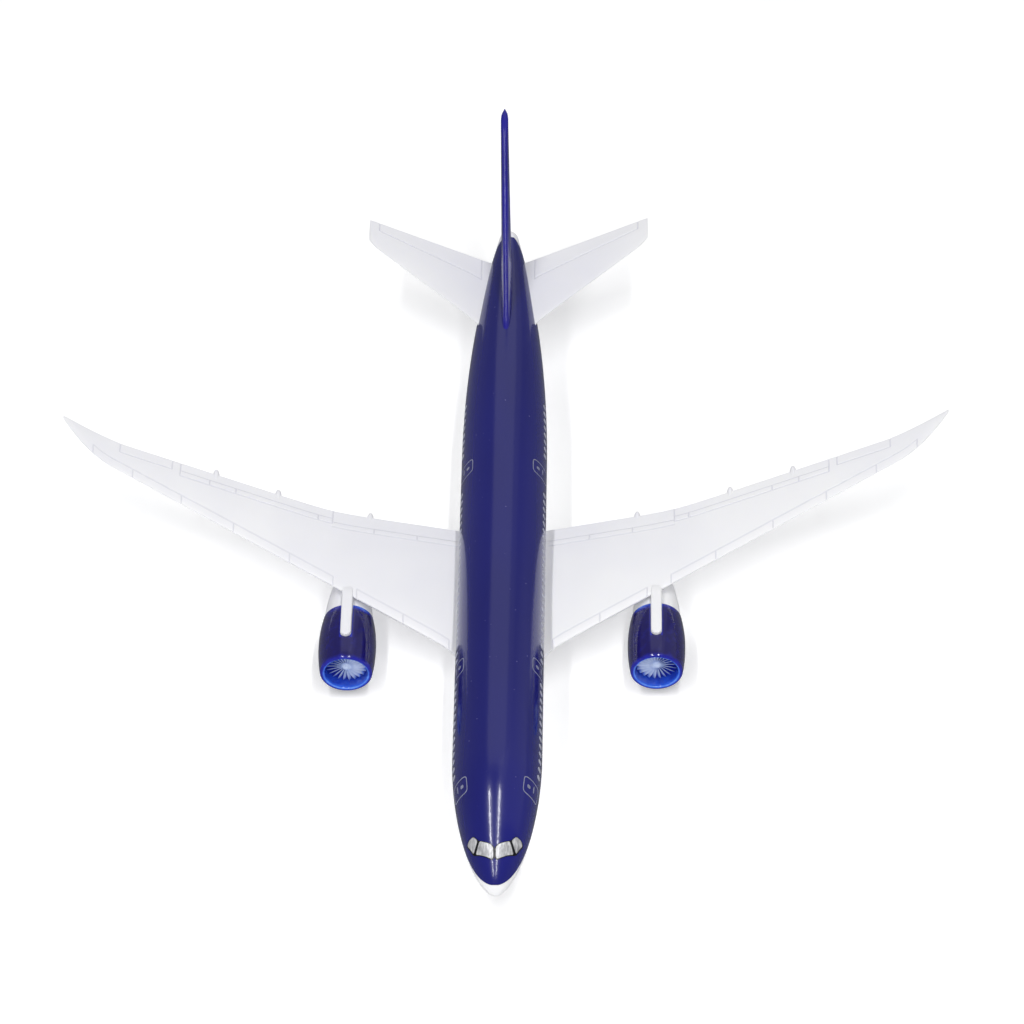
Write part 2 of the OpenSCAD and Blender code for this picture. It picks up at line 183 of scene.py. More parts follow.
def make_piece(name, points, faces, material=None, smooth_angle=40):
    """A closed mesh from points in millimetres about the barrel's middle: doubled points are merged,
    faces are turned outwards by the sign of the enclosed volume, and only sharp creases stay sharp."""
    mesh = bpy.data.meshes.new(name)
    mesh.from_pydata(to_world(points).tolist(), [], faces)
    mesh.update()
    piece = bpy.data.objects.new(name, mesh)
    bpy.context.scene.collection.objects.link(piece)
    if material is not None:
        mesh.materials.append(material)
    tidy_mesh(piece, smooth_angle)
    return piece


def tidy_mesh(piece, smooth_angle=40):
    """Merges doubled points, drops faces of no size, turns all faces outwards and shades them."""
    body = bmesh.new()
    body.from_mesh(piece.data)
    bmesh.ops.remove_doubles(body, verts=body.verts, dist=MERGE)
    bmesh.ops.dissolve_degenerate(body, dist=MERGE / 2, edges=body.edges)
    if body.calc_volume(signed=True) < 0:
        bmesh.ops.reverse_faces(body, faces=body.faces)
    body.to_mesh(piece.data)
    body.free()
    piece.data.shade_smooth()
    piece.data.set_sharp_from_angle(angle=math.radians(smooth_angle))


def vertices_of(piece):
    """The piece's points as an array in millimetres about the barrel's middle."""
    co = np.empty(len(piece.data.vertices) * 3, dtype=np.float32)
    piece.data.vertices.foreach_get("co", co)
    return co.reshape(-1, 3) / MM + np.array([0.0, ORIGIN_STATION, -BARREL_HEIGHT])


def set_attribute(piece, name, values):
    """A float per point that a material reads."""
    attribute = piece.data.attributes.new(name, "FLOAT", "POINT")
    attribute.data.foreach_set("value", np.asarray(values, dtype=np.float32).ravel())


def tube(name, rings, material=None, smooth_angle=40):
    """A closed skin through rings of points (rows of a grid), with a flat cap on each end."""
    rings = np.asarray(rings, dtype=float)
    rows, cols = rings.shape[:2]
    faces = grid_quads(rows, cols, wrap_cols=True).tolist()
    faces.append(list(range(cols)))
    faces.append([(rows - 1) * cols + i for i in range(cols)][::-1])
    return make_piece(name, rings.reshape(-1, 3), faces, material, smooth_angle)


def turned(name, profile, middle, axis, material=None, steps=96, closed=False, smooth_angle=40):
    """An outline of [radius, distance along] turned about a line through middle along x, y or z.
    A closed outline makes a ring; an open one starts and ends on the line."""
    profile = np.asarray(profile, dtype=float)
    turn = np.linspace(0, 2 * np.pi, steps, endpoint=False)
    r = profile[:, 0][:, None]
    along = np.repeat(profile[:, 1][:, None], steps, axis=1)
    parts = {"x": (along, r * np.cos(turn), r * np.sin(turn)),
             "y": (r * np.cos(turn), along, r * np.sin(turn)),
             "z": (r * np.cos(turn), r * np.sin(turn), along)}[axis]
    points = np.stack(parts, axis=-1) + np.asarray(middle, dtype=float)
    faces = grid_quads(len(profile), steps, wrap_cols=True, wrap_rows=closed).tolist()
    return make_piece(name, points.reshape(-1, 3), faces, material, smooth_angle)


def rod(x, s, low, high, r):
    """A round bar along z, as a cutter or a boss."""
    return turned("rod", [[0, low], [r, low], [r, high], [0, high]], (x, s, 0), "z", steps=64)


def brick(low, high, inset=0.0):
    """A block between two corners whose long edges are bevelled by inset."""
    low, high = np.asarray(low, dtype=float), np.asarray(high, dtype=float)
    i = max(inset, 1e-4)
    levels = np.array([[low[2], i], [low[2] + i, 0], [high[2] - i, 0], [high[2], i]])
    x0, x1, y0, y1 = low[0], high[0], low[1], high[1]
    corner = np.array([[x0 + i, y0], [x1 - i, y0], [x1, y0 + i], [x1, y1 - i],
                       [x1 - i, y1], [x0 + i, y1], [x0, y1 - i], [x0, y0 + i]])
    centre = (low[:2] + high[:2]) / 2
    shrink = np.sign(centre - corner) * levels[:, 1][:, None, None]
    plan = corner[None] + shrink
    z = np.repeat(levels[:, 0][:, None, None], 8, axis=1)
    return tube("brick", np.concatenate([plan, z], axis=-1), smooth_angle=25)


def carve(piece, cutters, operation="DIFFERENCE", smooth_angle=40):
    """Cuts solids out of a piece, or joins them on, and removes the solids."""
    for cutter in cutters:
        change = piece.modifiers.new("carve", "BOOLEAN")
        change.object = cutter
        change.operation = operation
        change.solver = "MANIFOLD"
    bpy.context.view_layer.update()
    graph = bpy.context.evaluated_depsgraph_get()
    result = bpy.data.meshes.new_from_object(piece.evaluated_get(graph))
    if len(result.polygons) == len(piece.data.polygons):
        raise ValueError(f"{piece.name} was not changed by its {operation.lower()}")
    piece.modifiers.clear()
    old = piece.data
    piece.data = result
    bpy.data.meshes.remove(old)
    result.name = piece.name
    for cutter in cutters:
        bpy.data.objects.remove(cutter)
    tidy_mesh(piece, smooth_angle)
    return piece


def join_pieces(name, pieces):
    """One mesh object from several."""
    bpy.ops.object.select_all(action="DESELECT")
    for piece in pieces:
        piece.select_set(True)
    bpy.context.view_layer.objects.active = pieces[0]
    bpy.ops.object.join()
    pieces[0].name = name
    pieces[0].data.name = name
    return pieces[0]


def fit_out(piece, body, slot, *nodes):
    """Hands a finished piece to its body and the nodes that it stands for; its slot argument is not used."""
    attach(piece, body)
    if nodes:
        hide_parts(*nodes)
    return piece


def fit_out_white(piece, node, groove_shade=0.0):
    """Fits out a white part of the airframe; its third argument is the share of painted shade, darkening the
    moulded lines, at each of its points.
    """
    set_attribute(piece, "recess", np.broadcast_to(groove_shade, len(piece.data.vertices)))
    fit_out(piece, "airframe", "white_abs", node)


# ---- materials ---------------------------------------------------------------------------------

def linear(code):
    """An sRGB hex colour as linear RGBA."""
    parts = [int(code[i:i + 2], 16) / 255 for i in (1, 3, 5)]
    return [c / 12.92 if c <= 0.04045 else ((c + 0.055) / 1.055) ** 2.4 for c in parts] + [1.0]


def new_material(name):
    """A material with its tree, its shader and the Object coordinates that its patterns run on."""
    material = bpy.data.materials.new(name)
    material.use_nodes = True
    tree = material.node_tree
    return material, tree, tree.nodes["Principled BSDF"], add(tree, "TexCoord").outputs["Object"]


def fill(tree, node, links=(), stops=(), **settings):
    """Settings go to the node's own properties, to inputs by number (input_7) or to inputs by name;
    stops are (position, hex) of a ramp; each link is an (input, socket) pair."""
    for key, value in settings.items():
        if hasattr(node, key):
            setattr(node, key, value)
        elif key.startswith("input_"):
            node.inputs[int(key[6:])].default_value = value
        else:
            node.inputs[key.replace("_", " ")].default_value = value
    for i, (position, code) in enumerate(stops):
        points = node.color_ramp.elements
        point = points[i] if i < 2 else points.new(position)
        point.position, point.color = position, linear(code)
    for target, source in links:
        tree.links.new(source, node.inputs[target])
    return node


def add(tree, kind, links=(), stops=(), **settings):
    """A new node with its settings and its links."""
    return fill(tree, tree.nodes.new("ShaderNode" + kind), links, stops, **settings)


def blue_enamel():
    """Stoving enamel on a zinc die-casting, glossy: IOR 1.5, roughness 0.035 in its clear top and 0.22
    below, not metallic. Ripples of the casting 7 mm long, orange peel of 0.45 mm, specks of dust."""
    material, tree, bsdf, place = new_material("blue_gloss_enamel_on_zinc")
    along = add(tree, "Mapping", [("Vector", place)], Scale=(1, 0.3, 1)).outputs[0]
    drift = add(tree, "TexNoise", [("Vector", along)], Scale=1 / (16 * MM)).outputs["Fac"]
    base = add(tree, "ValToRGB", [("Fac", drift)], [(0.3, "#0f1263"), (0.7, "#141773")]).outputs[0]
    speck = add(tree, "TexNoise", [("Vector", place)], Scale=1 / (0.5 * MM), Detail=0).outputs["Fac"]
    dust = add(tree, "ValToRGB", [("Fac", speck)], [(0.86, "#000000"), (0.89, "#ffffff")]).outputs[0]
    mixed = add(tree, "Mix", [("Factor", dust), (6, base)], data_type="RGBA", input_7=linear("#5a5896"))
    ripple = add(tree, "TexNoise", [("Vector", along)], Scale=1 / (7 * MM), Detail=1).outputs["Fac"]
    wave = add(tree, "Bump", [("Height", ripple)], Strength=0.35, Distance=0.05 * MM).outputs[0]
    peel = add(tree, "TexNoise", [("Vector", place)], Scale=1 / (0.45 * MM)).outputs["Fac"]
    skin = add(tree, "Bump", [("Height", peel), ("Normal", wave)], Strength=0.9, Distance=0.012 * MM)
    fill(tree, bsdf, [("Base Color", mixed.outputs[2]), ("Normal", skin.outputs[0]),
                      ("Coat Normal", skin.outputs[0])],
         Roughness=0.22, IOR=1.5, Coat_Weight=0.5, Coat_Roughness=0.035)
    return material


def white_abs():
    """White injection-moulded ABS, semi-gloss: IOR 1.53, roughness 0.38, not metallic, a little light
    under its surface. A faint cast over 22 mm, mould texture of 0.5 mm; the moulded lines are darkened with
    painted shade."""
    material, tree, bsdf, place = new_material("white_moulded_abs")
    cast = add(tree, "TexNoise", [("Vector", place)], Scale=1 / (22 * MM)).outputs["Fac"]
    base = add(tree, "ValToRGB", [("Fac", cast)], [(0.35, "#e7e7ec"), (0.65, "#eeeef0")]).outputs[0]
    # Painted shade: the recess share darkens the moulded lines towards #d8d8df, standing in for the shade
    # that falls in them.
    sunk = add(tree, "Attribute", attribute_name="recess").outputs["Fac"]
    mixed = add(tree, "Mix", [("Factor", sunk), (6, base)], data_type="RGBA", input_7=linear("#d8d8df"))
    mould = add(tree, "TexNoise", [("Vector", place)], Scale=1 / (0.5 * MM)).outputs["Fac"]
    skin = add(tree, "Bump", [("Height", mould)], Strength=0.5, Distance=0.004 * MM)
    fill(tree, bsdf, [("Base Color", mixed.outputs[2]), ("Normal", skin.outputs[0])],
         Roughness=0.38, IOR=1.53, Subsurface_Weight=0.15, Subsurface_Scale=1.0,
         Subsurface_Radius=(0.6 * MM, 0.6 * MM, 0.7 * MM))
    return material


def fan_wash():
    """Light blue wash over moulded plastic, glossy: IOR 1.5, roughness 0.3, not metallic. It is pale
    on the blades and pools royal blue in the hollows; clouds of 0.8 mm, texture of 0.5 mm."""
    material, tree, bsdf, place = new_material("blue_wash_on_moulded_blades")
    pooled = add(tree, "Attribute", attribute_name="pooled").outputs["Fac"]
    cloud = add(tree, "TexNoise", [("Vector", place)], Scale=1 / (0.8 * MM)).outputs["Fac"]
    total = add(tree, "Math", [(0, cloud), (2, pooled)], operation="MULTIPLY_ADD", use_clamp=True,
                input_1=0.25).outputs[0]
    colour = add(tree, "ValToRGB", [("Fac", total)], [(0.1, "#c3d2ee"), (0.95, "#1c2ca8"),
                                                      (0.35, "#9fb4e0"), (0.65, "#4c6fd6")]).outputs[0]
    grain = add(tree, "TexNoise", [("Vector", place)], Scale=1 / (0.5 * MM)).outputs["Fac"]
    skin = add(tree, "Bump", [("Height", grain)], Strength=0.5, Distance=0.006 * MM)
    fill(tree, bsdf, [("Base Color", colour), ("Normal", skin.outputs[0])], Roughness=0.3, IOR=1.5)
    return material


def blue_plastic():
    """Royal blue plastic coloured through, satin gloss: IOR 1.5, roughness 0.24, not metallic.
    Flow marks of 9 mm, mould texture of 0.8 mm."""
    material, tree, bsdf, place = new_material("royal_blue_moulded_plastic")
    drift = add(tree, "TexNoise", [("Vector", place)], Scale=1 / (9 * MM)).outputs["Fac"]
    base = add(tree, "ValToRGB", [("Fac", drift)], [(0.3, "#17147c"), (0.7, "#1e1a90")]).outputs[0]
    mould = add(tree, "TexNoise", [("Vector", place)], Scale=1 / (0.8 * MM)).outputs["Fac"]
    skin = add(tree, "Bump", [("Height", mould)], Strength=0.5, Distance=0.005 * MM)
    fill(tree, bsdf, [("Base Color", base), ("Normal", skin.outputs[0])], Roughness=0.24, IOR=1.5)
    return material


def thin_lacquer():
    """Clear blue lacquer over white ABS, high gloss: IOR 1.5, roughness 0.05 on top, not metallic.
    Where it runs thin, at rims, it is light blue; on broad faces it pools deep violet-blue."""
    material, tree, bsdf, place = new_material("thin_blue_lacquer_on_white_abs")
    thin = add(tree, "Attribute", attribute_name="thin").outputs["Fac"]
    cloud = add(tree, "TexNoise", [("Vector", place)], Scale=1 / (1.1 * MM), Detail=3).outputs["Fac"]
    spread = add(tree, "Math", [(0, cloud)], operation="MULTIPLY_ADD", input_1=0.3, input_2=-0.15)
    total = add(tree, "Math", [(0, thin), (1, spread.outputs[0])], operation="ADD", use_clamp=True)
    colour = add(tree, "ValToRGB", [("Fac", total.outputs[0])],
                 [(0.0, "#140d56"), (1.0, "#d5e4f6"), (0.3, "#1b1f9c"), (0.6, "#2f62dc"),
                  (0.85, "#7fb0f2")]).outputs[0]
    runs = add(tree, "TexNoise", [("Vector", place)], Scale=1 / (1.6 * MM)).outputs["Fac"]
    skin = add(tree, "Bump", [("Height", runs)], Strength=0.5, Distance=0.012 * MM)
    fill(tree, bsdf, [("Base Color", colour), ("Normal", skin.outputs[0])],
         Roughness=0.16, IOR=1.5, Coat_Weight=0.5, Coat_Roughness=0.05)
    return material


def plain(name, dark, light, roughness, grain_mm, metallic=0.0, stretch=(1, 1, 1), ior=1.5,
          relief_mm=0.005):
    """Two near colours that mix over a grain of some mm, which also roughens the surface."""
    material, tree, bsdf, place = new_material(name)
    drawn = add(tree, "Mapping", [("Vector", place)], Scale=stretch).outputs[0]
    grain = add(tree, "TexNoise", [("Vector", drawn)], Scale=1 / (grain_mm * MM), Detail=3).outputs["Fac"]
    base = add(tree, "ValToRGB", [("Fac", grain)], [(0.3, dark), (0.7, light)]).outputs[0]
    skin = add(tree, "Bump", [("Height", grain)], Strength=0.4, Distance=relief_mm * MM)
    fill(tree, bsdf, [("Base Color", base), ("Normal", skin.outputs[0])],
         Roughness=roughness, Metallic=metallic, IOR=ior)
    return material


ENAMEL = blue_enamel()
WHITE = white_abs()
FIN_BLUE = blue_plastic()
COWL_LACQUER = thin_lacquer()
FAN = fan_wash()
# Silver pad-printing ink, satin: metallic 0.35 for its flake, roughness 0.42, streaks of 0.6 mm.
SILVER = plain("silver_pad_printing_ink", "#9c9ca0", "#e4e4e6", 0.42, 0.6, 0.35, (2, 0.6, 0.6),
               relief_mm=0.006)
# Pad-printing inks, satin: IOR 1.5, roughness 0.3 to 0.4, not metallic, patchy over 0.4 mm.
BLACK_INK = plain("black_pad_printing_ink", "#09090f", "#0b0b12", 0.3, 0.4)
GREY_INK = plain("dull_silver_pad_printing_ink", "#777a8e", "#8d90a8", 0.4, 0.4)
PALE_INK = plain("pale_grey_pad_printing_ink", "#9d9fac", "#b9bccb", 0.4, 0.4)
# Painted plastics, satin: IOR 1.5, roughness 0.4, and matt tyre plastic of roughness 0.6.
LEG_SILVER = plain("silver_grey_painted_plastic", "#8f9194", "#a9abaf", 0.4, 1.2)
HUB = plain("light_grey_painted_hub", "#99999c", "#b4b5b8", 0.4, 1.2)
TYRE = plain("black_moulded_tyre_plastic", "#161618", "#1b1b1d", 0.6, 0.8)
# Drawn steel wire and nickel plated screw steel: metallic, roughness 0.3, grain of 0.2 and 0.3 mm.
STEEL = plain("drawn_steel_wire", "#8c8c90", "#b0b0b4", 0.3, 0.2, 1.0, (0.1, 1, 1), 2.5)
SCREW = plain("nickel_plated_screw_steel", "#939089", "#b8b4ac", 0.28, 0.3, 1.0, ior=2.3)


# ---- fuselage ----------------------------------------------------------------------------------

def nose_curve(s, reach, power):
    """0 at the nose tip, swelling like an ellipse's side to 1 at station reach."""
    return (1 - (1 - clamp01((s - NOSE_TIP) / (reach - NOSE_TIP))) ** 2) ** power


def tail_fall(s, start, power):
    """0 up to start, then a power of the share of the way to the tail's end."""
    return clamp01((s - start) / (FUSELAGE_LENGTH - start)) ** power


def end_cap(s):
    """Closes the tail cone with a quarter ellipse over its last stretch."""
    return np.sqrt(np.maximum(0.0004, 1 - clamp01((s - FUSELAGE_LENGTH + TAIL_CAP) / TAIL_CAP) ** 2))


def half_width(s):
    """Half width at station s: swells at the nose, then narrows into the tail cone."""
    nose = BARREL_R * nose_curve(s, NOSE_LEN, 0.57)
    tail = TAIL_R + (BARREL_R - TAIL_R) * (1 - tail_fall(s, TAPER_START, 2.15))
    return np.where(s < TAPER_START, nose, tail * end_cap(s))


def crown_line(s):
    """Height of the top line: climbs from the nose tip, runs level, droops to the tail."""
    nose = NOSE_Z + (CROWN_Z - NOSE_Z) * nose_curve(s, CROWN_LEN, 0.69)
    tail = TAIL_TOP_Z + (CROWN_Z - TAIL_TOP_Z) * (1 - tail_fall(s, CROWN_START, 2))
    return np.where(s < CROWN_START, nose, tail)


def keel_line(s):
    """Height of the bottom line: falls from the nose tip, runs level, sweeps up to the tail."""
    nose = NOSE_Z + (KEEL_Z - NOSE_Z) * nose_curve(s, CHIN_LEN, 0.46)
    tail = KEEL_Z + (TAIL_KEEL_Z - KEEL_Z) * tail_fall(s, KEEL_START, 1.6)
    return np.where(s < KEEL_START, nose, tail)


def barrel(s):
    """Half width, middle height and half height of the fuselage's ellipse at station s."""
    top = crown_line(s)
    bottom = keel_line(s)
    return half_width(s), (top + bottom) / 2, (top - bottom) / 2 * end_cap(s)


def parting_height(s):
    """The shells part on a level line that climbs to the top of the tail cone."""
    rise = clamp01((s - PARTING_RISE[0]) / (PARTING_RISE[1] - PARTING_RISE[0]))
    return PARTING_Z + (TAIL_TOP_Z + 0.1 - PARTING_Z) * rise


def parting_angle(s):
    """Angle above the horizontal at which the barrel's ellipse crosses the parting line."""
    _, mid, h = barrel(s)
    return np.arcsin(np.clip((parting_height(s) - mid) / h, -1, 1))


def on_skin(s, angle, lift=0.0):
    """Points of the fuselage's skin, lifted off it along the ellipse's normal."""
    s = np.asarray(s, dtype=float)
    angle = np.asarray(angle, dtype=float)
    w, mid, h = barrel(s)
    nx = np.cos(angle) / np.maximum(w, 1e-6)
    nz = np.sin(angle) / np.maximum(h, 1e-6)
    size = np.sqrt(nx * nx + nz * nz)
    x = w * np.cos(angle) + lift * nx / size
    z = mid + h * np.sin(angle) + lift * nz / size
    return np.stack(np.broadcast_arrays(x, s, z), axis=-1)


def fuselage_stations(start=NOSE_START):
    """Stations close together at the nose and the tail cone's end."""
    nose = start + (NOSE_LEN - start) * (1 - np.cos(np.linspace(0, np.pi / 2, 110)))
    barrel_run = np.linspace(NOSE_LEN, TAIL_FINE, 150)[1:]
    tail = TAIL_FINE + (FUSELAGE_LENGTH - TAIL_FINE) * np.sin(np.linspace(0, np.pi / 2, 46))[1:]
    edges = [HOLLOW[0] - 0.02, HOLLOW[0] + 0.02, HOLLOW[1] - 0.02, HOLLOW[1] + 0.02]
    return np.unique(np.concatenate([nose, barrel_run, tail, edges]))


def upper_start():
    """Station at which the crown rises through the parting line."""
    s = np.linspace(NOSE_TIP, 3, 4000)
    return s[np.argmax(crown_line(s) > PARTING_Z)] + 0.06


def shell_rings(upper):
    """Closed rings of one shell: the outer arc down to the parting line with a small rounded edge,
    then back along the inside, or straight across where the shell is solid."""
    way = 1 if upper else -1
    s = fuselage_stations(upper_start() if upper else NOSE_START)
    if upper:
        s = s[s < PARTING_RISE[1]]
    low = parting_angle(s)[:, None]
    arc = np.linspace(0, 1, 150)[None, :]
    outer = on_skin(s[:, None], low + way * (np.pi - 2 * way * low) * arc)
    edge = SHELL_EDGE * smooth(np.minimum(arc, 1 - arc) / -0.004 + 1.0)
    w, mid, h = barrel(s)
    outer[:, :, 0] *= 1 - edge / np.maximum(w[:, None], 0.3)
    outer[:, :, 2] += way * SHELL_GAP * edge / SHELL_EDGE
    ends = outer[:, [-1, 0], :]
    t = np.linspace(0, 1, 60)[None, :]
    flat = ends[:, :1, :] * (1 - t[..., None]) + ends[:, 1:, :] * t[..., None]
    w_in = np.maximum(w - WALL, 0.01)[:, None]
    h_in = np.maximum(h - WALL, 0.01)[:, None]
    low = np.arcsin(np.clip((parting_height(s)[:, None] - mid[:, None]) / h_in, -1, 1))
    turn = way * (np.pi - way * low) - way * (np.pi - 2 * way * low) * t
    inner = np.broadcast_arrays(w_in * np.cos(turn), s[:, None], mid[:, None] + h_in * np.sin(turn))
    hollow = ((s > HOLLOW[0]) & (s < HOLLOW[1]))[:, None, None]
    back = np.where(hollow, np.stack(inner, axis=-1), flat)
    return np.concatenate([outer, back[:, 1:-1, :]], axis=1)


def fuselage_solid():
    """The whole fuselage as one skin of ellipses, without its parting or its hollow."""
    s = fuselage_stations()[:, None]
    turn = np.linspace(0, 2 * np.pi, 128, endpoint=False)[None, :]
    return tube("fuselage_solid", on_skin(s, turn))


# ---- lifting surfaces --------------------------------------------------------------------------

def section_t(u):
    """Half thickness of a round-nosed section along its chord, 1 at its thickest."""
    return 1.55 * np.sqrt(u) - 0.95 * u - 0.52 * u ** 3 + 0.07


def softmax(a, b, k):
    """The larger of two values, with a change-over that is soft over k."""
    return np.maximum(a, b) + k * np.log(1 + np.exp(-np.abs(a - b) / k))


def wing_le(x):
    """Leading edge: a straight sweep with a small fillet at its root, curving back at the tip."""
    return (53.6 + 0.627 * (x - 13.2) - 1.2 * np.exp(-(x - WING_ROOT_X) / 0.9)
            + 5 * (np.maximum(0, x - 66) / (HALF_SPAN - 66)) ** 2)


def wing_te(x):
    """Trailing edge: two straight runs that meet in a soft kink, curving back at the tip."""
    return (softmax(76.9 + 0.119 * (x - 7.9), 85.5 + 0.352 * (x - 46), 0.45)
            + 2.3 * (np.maximum(0, x - 64) / (HALF_SPAN - 64)) ** 1.5)


def wing_z(x):
    """Height of the wing's middle, which climbs evenly from the root."""
    return WING_ROOT_Z + (x - WING_ROOT_X) * DIHEDRAL


def wing_t(x):
    """Thickness of the wing: tapers by a power of the span and rounds off at the tip."""
    t = WING_TIP_T + (WING_ROOT_T - WING_TIP_T) * (1 - np.minimum(1, (x - WING_INNER_X) / 62)) ** 1.2
    return t * np.where(x > 72, np.sqrt(np.maximum(0.15, (HALF_SPAN + 0.4 - x) / 3.5)), 1)


def chord_ladder(chord, front_n, mid_n, back_n, front=3.0, back=5.0):
    """Distances back from the leading edge: close together at both edges, where the relief is."""
    front = np.minimum(front, 0.3 * chord)[:, None]
    back = np.minimum(back, 0.45 * chord)[:, None]
    a = np.linspace(0, 1, front_n)[None, :] ** 1.8 * front
    b = front + (chord[:, None] - back - front) * np.linspace(0, 1, mid_n)[None, 1:]
    c = chord[:, None] - back + back * np.linspace(0, 1, back_n)[None, 1:]
    return np.concatenate([a, b, c], axis=1)


def blade_rings(across, lead, trail, middle, thick, shares, relief, counts):
    """Closed rings of a lifting surface: the section's two sides at each place along it, thickness
    shared above and below the middle, with the relief's height added to the upper side."""
    chord = trail - lead
    top = chord_ladder(chord, *counts)
    under = chord_ladder(chord, 14, 8, 12)
    up = middle[:, None] + thick[:, None] * shares[0] * section_t(top / chord[:, None])
    up = up + relief(across[:, None], top, chord[:, None] - top)
    down = middle[:, None] - thick[:, None] * shares[1] * section_t(under / chord[:, None])
    s = np.concatenate([top[:, ::-1], under], axis=1) + lead[:, None]
    h = np.concatenate([up[:, ::-1], down], axis=1)
    a = np.repeat(across[:, None], s.shape[1], axis=1)
    return a, s, h


def between(x, low, high, edge=0.12):
    """1 between low and high, easing to 0 over edge outside them."""
    return smooth((x - low) / edge + 1) * smooth((high - x) / edge + 1)


SLAT = 1.75                                     # depth of the slats behind the leading edge
SLAT_ENDS = (24.0, 28.0, 35.4, 45.0, 54.0, 62.5, 69.5)
SLAT_INNER = (8.5, 16.2, 24.0)
BAND = ((2.7, 3.85), (1.9, 3.1))                # the spoiler band ahead of the trailing edge
KINK = 28.6
BAND_TICKS = (14.4, 21.6, 28.6, 31.0, 45.0, 49.5)
BAND_END = 54.6
AILERON = (56.0, 65.0, 2.1)
LINE = 0.05                                     # half width of a moulded line
WING_RELIEF = 0.06
TAIL_RELIEF = 0.08
FIN_RELIEF = 0.07


def flap_lines(along, back, depth, ends):
    """The moulded line ahead of a control surface of some depth, and the lines at its two ends."""
    total = ridge(back, depth, LINE) * between(along, *ends)
    for end in ends:
        total = np.maximum(total, ridge(along, end, LINE) * between(back, 0, depth))
    return total


def wing_lines(x, front, back):
    """Depth share of the moulded lines of the wing's upper side: slats, spoilers and aileron."""
    total = ridge(front, SLAT, LINE) * (between(x, SLAT_ENDS[1], SLAT_ENDS[-1])
                                        + between(x, SLAT_INNER[0], SLAT_INNER[-1]))
    for end in SLAT_ENDS + SLAT_INNER[:2]:
        total = np.maximum(total, ridge(x, end, LINE) * between(front, 0.15, SLAT))
    inner = between(x, 7.4, KINK)
    outer = between(x, KINK, BAND_END)
    for share, (low, high) in ((inner, BAND[0]), (outer, BAND[1])):
        total = np.maximum(total, share * np.maximum(ridge(back, low, LINE), ridge(back, high, LINE)))
    for tick in BAND_TICKS + (BAND_END,):
        low, high = BAND[0] if tick < KINK else BAND[1]
        total = np.maximum(total, ridge(x, tick, LINE) * between(back, low, high))
    for end in (KINK, BAND_END):
        total = np.maximum(total, ridge(x, end, LINE) * between(back, 0, BAND[1][0]))
    return np.maximum(total, flap_lines(x, back, AILERON[2], AILERON[:2]))


def wing_relief(x, front, back):
    """Height in mm of the wing's moulded detail: spoilers stand a little proud, lines are sunk."""
    inner = between(x, 7.4, KINK) * between(back, *BAND[0])
    outer = between(x, KINK, BAND_END) * between(back, *BAND[1])
    return WING_RELIEF * np.maximum(inner, outer) - WING_RELIEF * wing_lines(x, front, back)


def no_relief(x, front, back):
    """A smooth side, for the skins that only cut slots."""
    return 0 * front


def stations_with_lines(low, high, count, lines):
    """Even stations with a few more set close about each line."""
    extra = [line + d for line in lines for d in (-0.24, -0.13, -0.06, 0.06, 0.13, 0.24)]
    extra = [e for e in extra if low < e < high]
    return np.unique(np.round(np.concatenate([np.linspace(low, high, count), extra]), 3))


def wing_skin(side, grow=0.0, fine=True, name="wing"):
    """The wing from its inner end to its tip. Grown and coarse, it cuts its own slot elsewhere."""
    lines = SLAT_ENDS + SLAT_INNER[:2] + BAND_TICKS + (BAND_END,) + AILERON[:2]
    if fine:
        x = stations_with_lines(WING_ROOT_X, HALF_SPAN, 150, lines)
    else:
        x = np.linspace(WING_ROOT_X, 40, 24)
    x = np.concatenate([[WING_INNER_X], x])
    held = np.maximum(x, WING_ROOT_X)
    a, s, h = blade_rings(x, wing_le(held) - grow, wing_te(held) + grow, wing_z(x),
                          wing_t(held) + 2 * grow, (0.6, 0.4), wing_relief if fine else no_relief,
                          (26, 26, 60) if fine else (16, 10, 10))
    return tube(name, np.stack([side * a, s, h], axis=-1), WHITE if fine else None, smooth_angle=32)


def canoe(x, side):
    """A flap track fairing: a slim body of revolution whose ends close like an ellipse."""
    length, radius, reach = CANOE
    t = np.linspace(0, 1, 40)[:, None]
    along = float(wing_te(np.array(x))) + reach - length + length * t
    r = radius * (1 - np.abs(2 * t - 1) ** 3.4) ** 0.5
    drop = -0.82 + 0.68 * t ** 1.5
    turn = np.linspace(0, 2 * np.pi, 40, endpoint=False)
    z = float(wing_z(np.array(x))) + drop + r * np.sin(turn)
    points = np.broadcast_arrays(side * x + r * np.cos(turn), along, z)
    return tube("canoe", np.stack(points, axis=-1))


def wing(name, side):
    """A wing with its flap track fairings, its tab in the fuselage and the leg's socket."""
    piece = wing_skin(side, name=f"wing_skin_{name}")
    tab_x = sorted((side * 1.0, side * (WING_INNER_X + 0.5)))
    extras = [canoe(x, side) for x in FAIRING_X]
    extras.append(brick((tab_x[0], TAB_RUN[0], TAB_Z[0]), (tab_x[1], TAB_RUN[1], TAB_Z[1]), 0.1))
    carve(piece, extras, "UNION", 32)
    x, s = MAIN_GEAR
    z = float(wing_z(np.array(x)))
    carve(piece, [rod(side * x, s, z - 3.2, z - 0.2, PEG_R)], smooth_angle=32)
    p = vertices_of(piece)
    px = np.clip(np.abs(p[:, 0]), WING_ROOT_X, HALF_SPAN)
    upper = p[:, 2] > wing_z(px) + 0.05
    # Painted shade: the moulded lines of the upper side get a darker colour, standing in for the shade in
    # them.
    groove_shade = wing_lines(px, p[:, 1] - wing_le(px), wing_te(px) - p[:, 1])
    fit_out_white(piece, f"wing_{name}", np.where(upper, groove_shade, 0))


def tail_le(x):
    """Leading edge of the tailplane: straight, with a root fillet and a rounded tip."""
    return (119.6 + 0.93 * (x - 5.4) - 0.9 * np.exp(-(x - 4.5) / 0.8)
            + 0.8 * (np.maximum(0, x - 22.5) / (HALF_TAIL - 22.5)) ** 2)


def tail_te(x):
    """Trailing edge of the tailplane, straight."""
    return 134 + 0.415 * (x - 2.8)


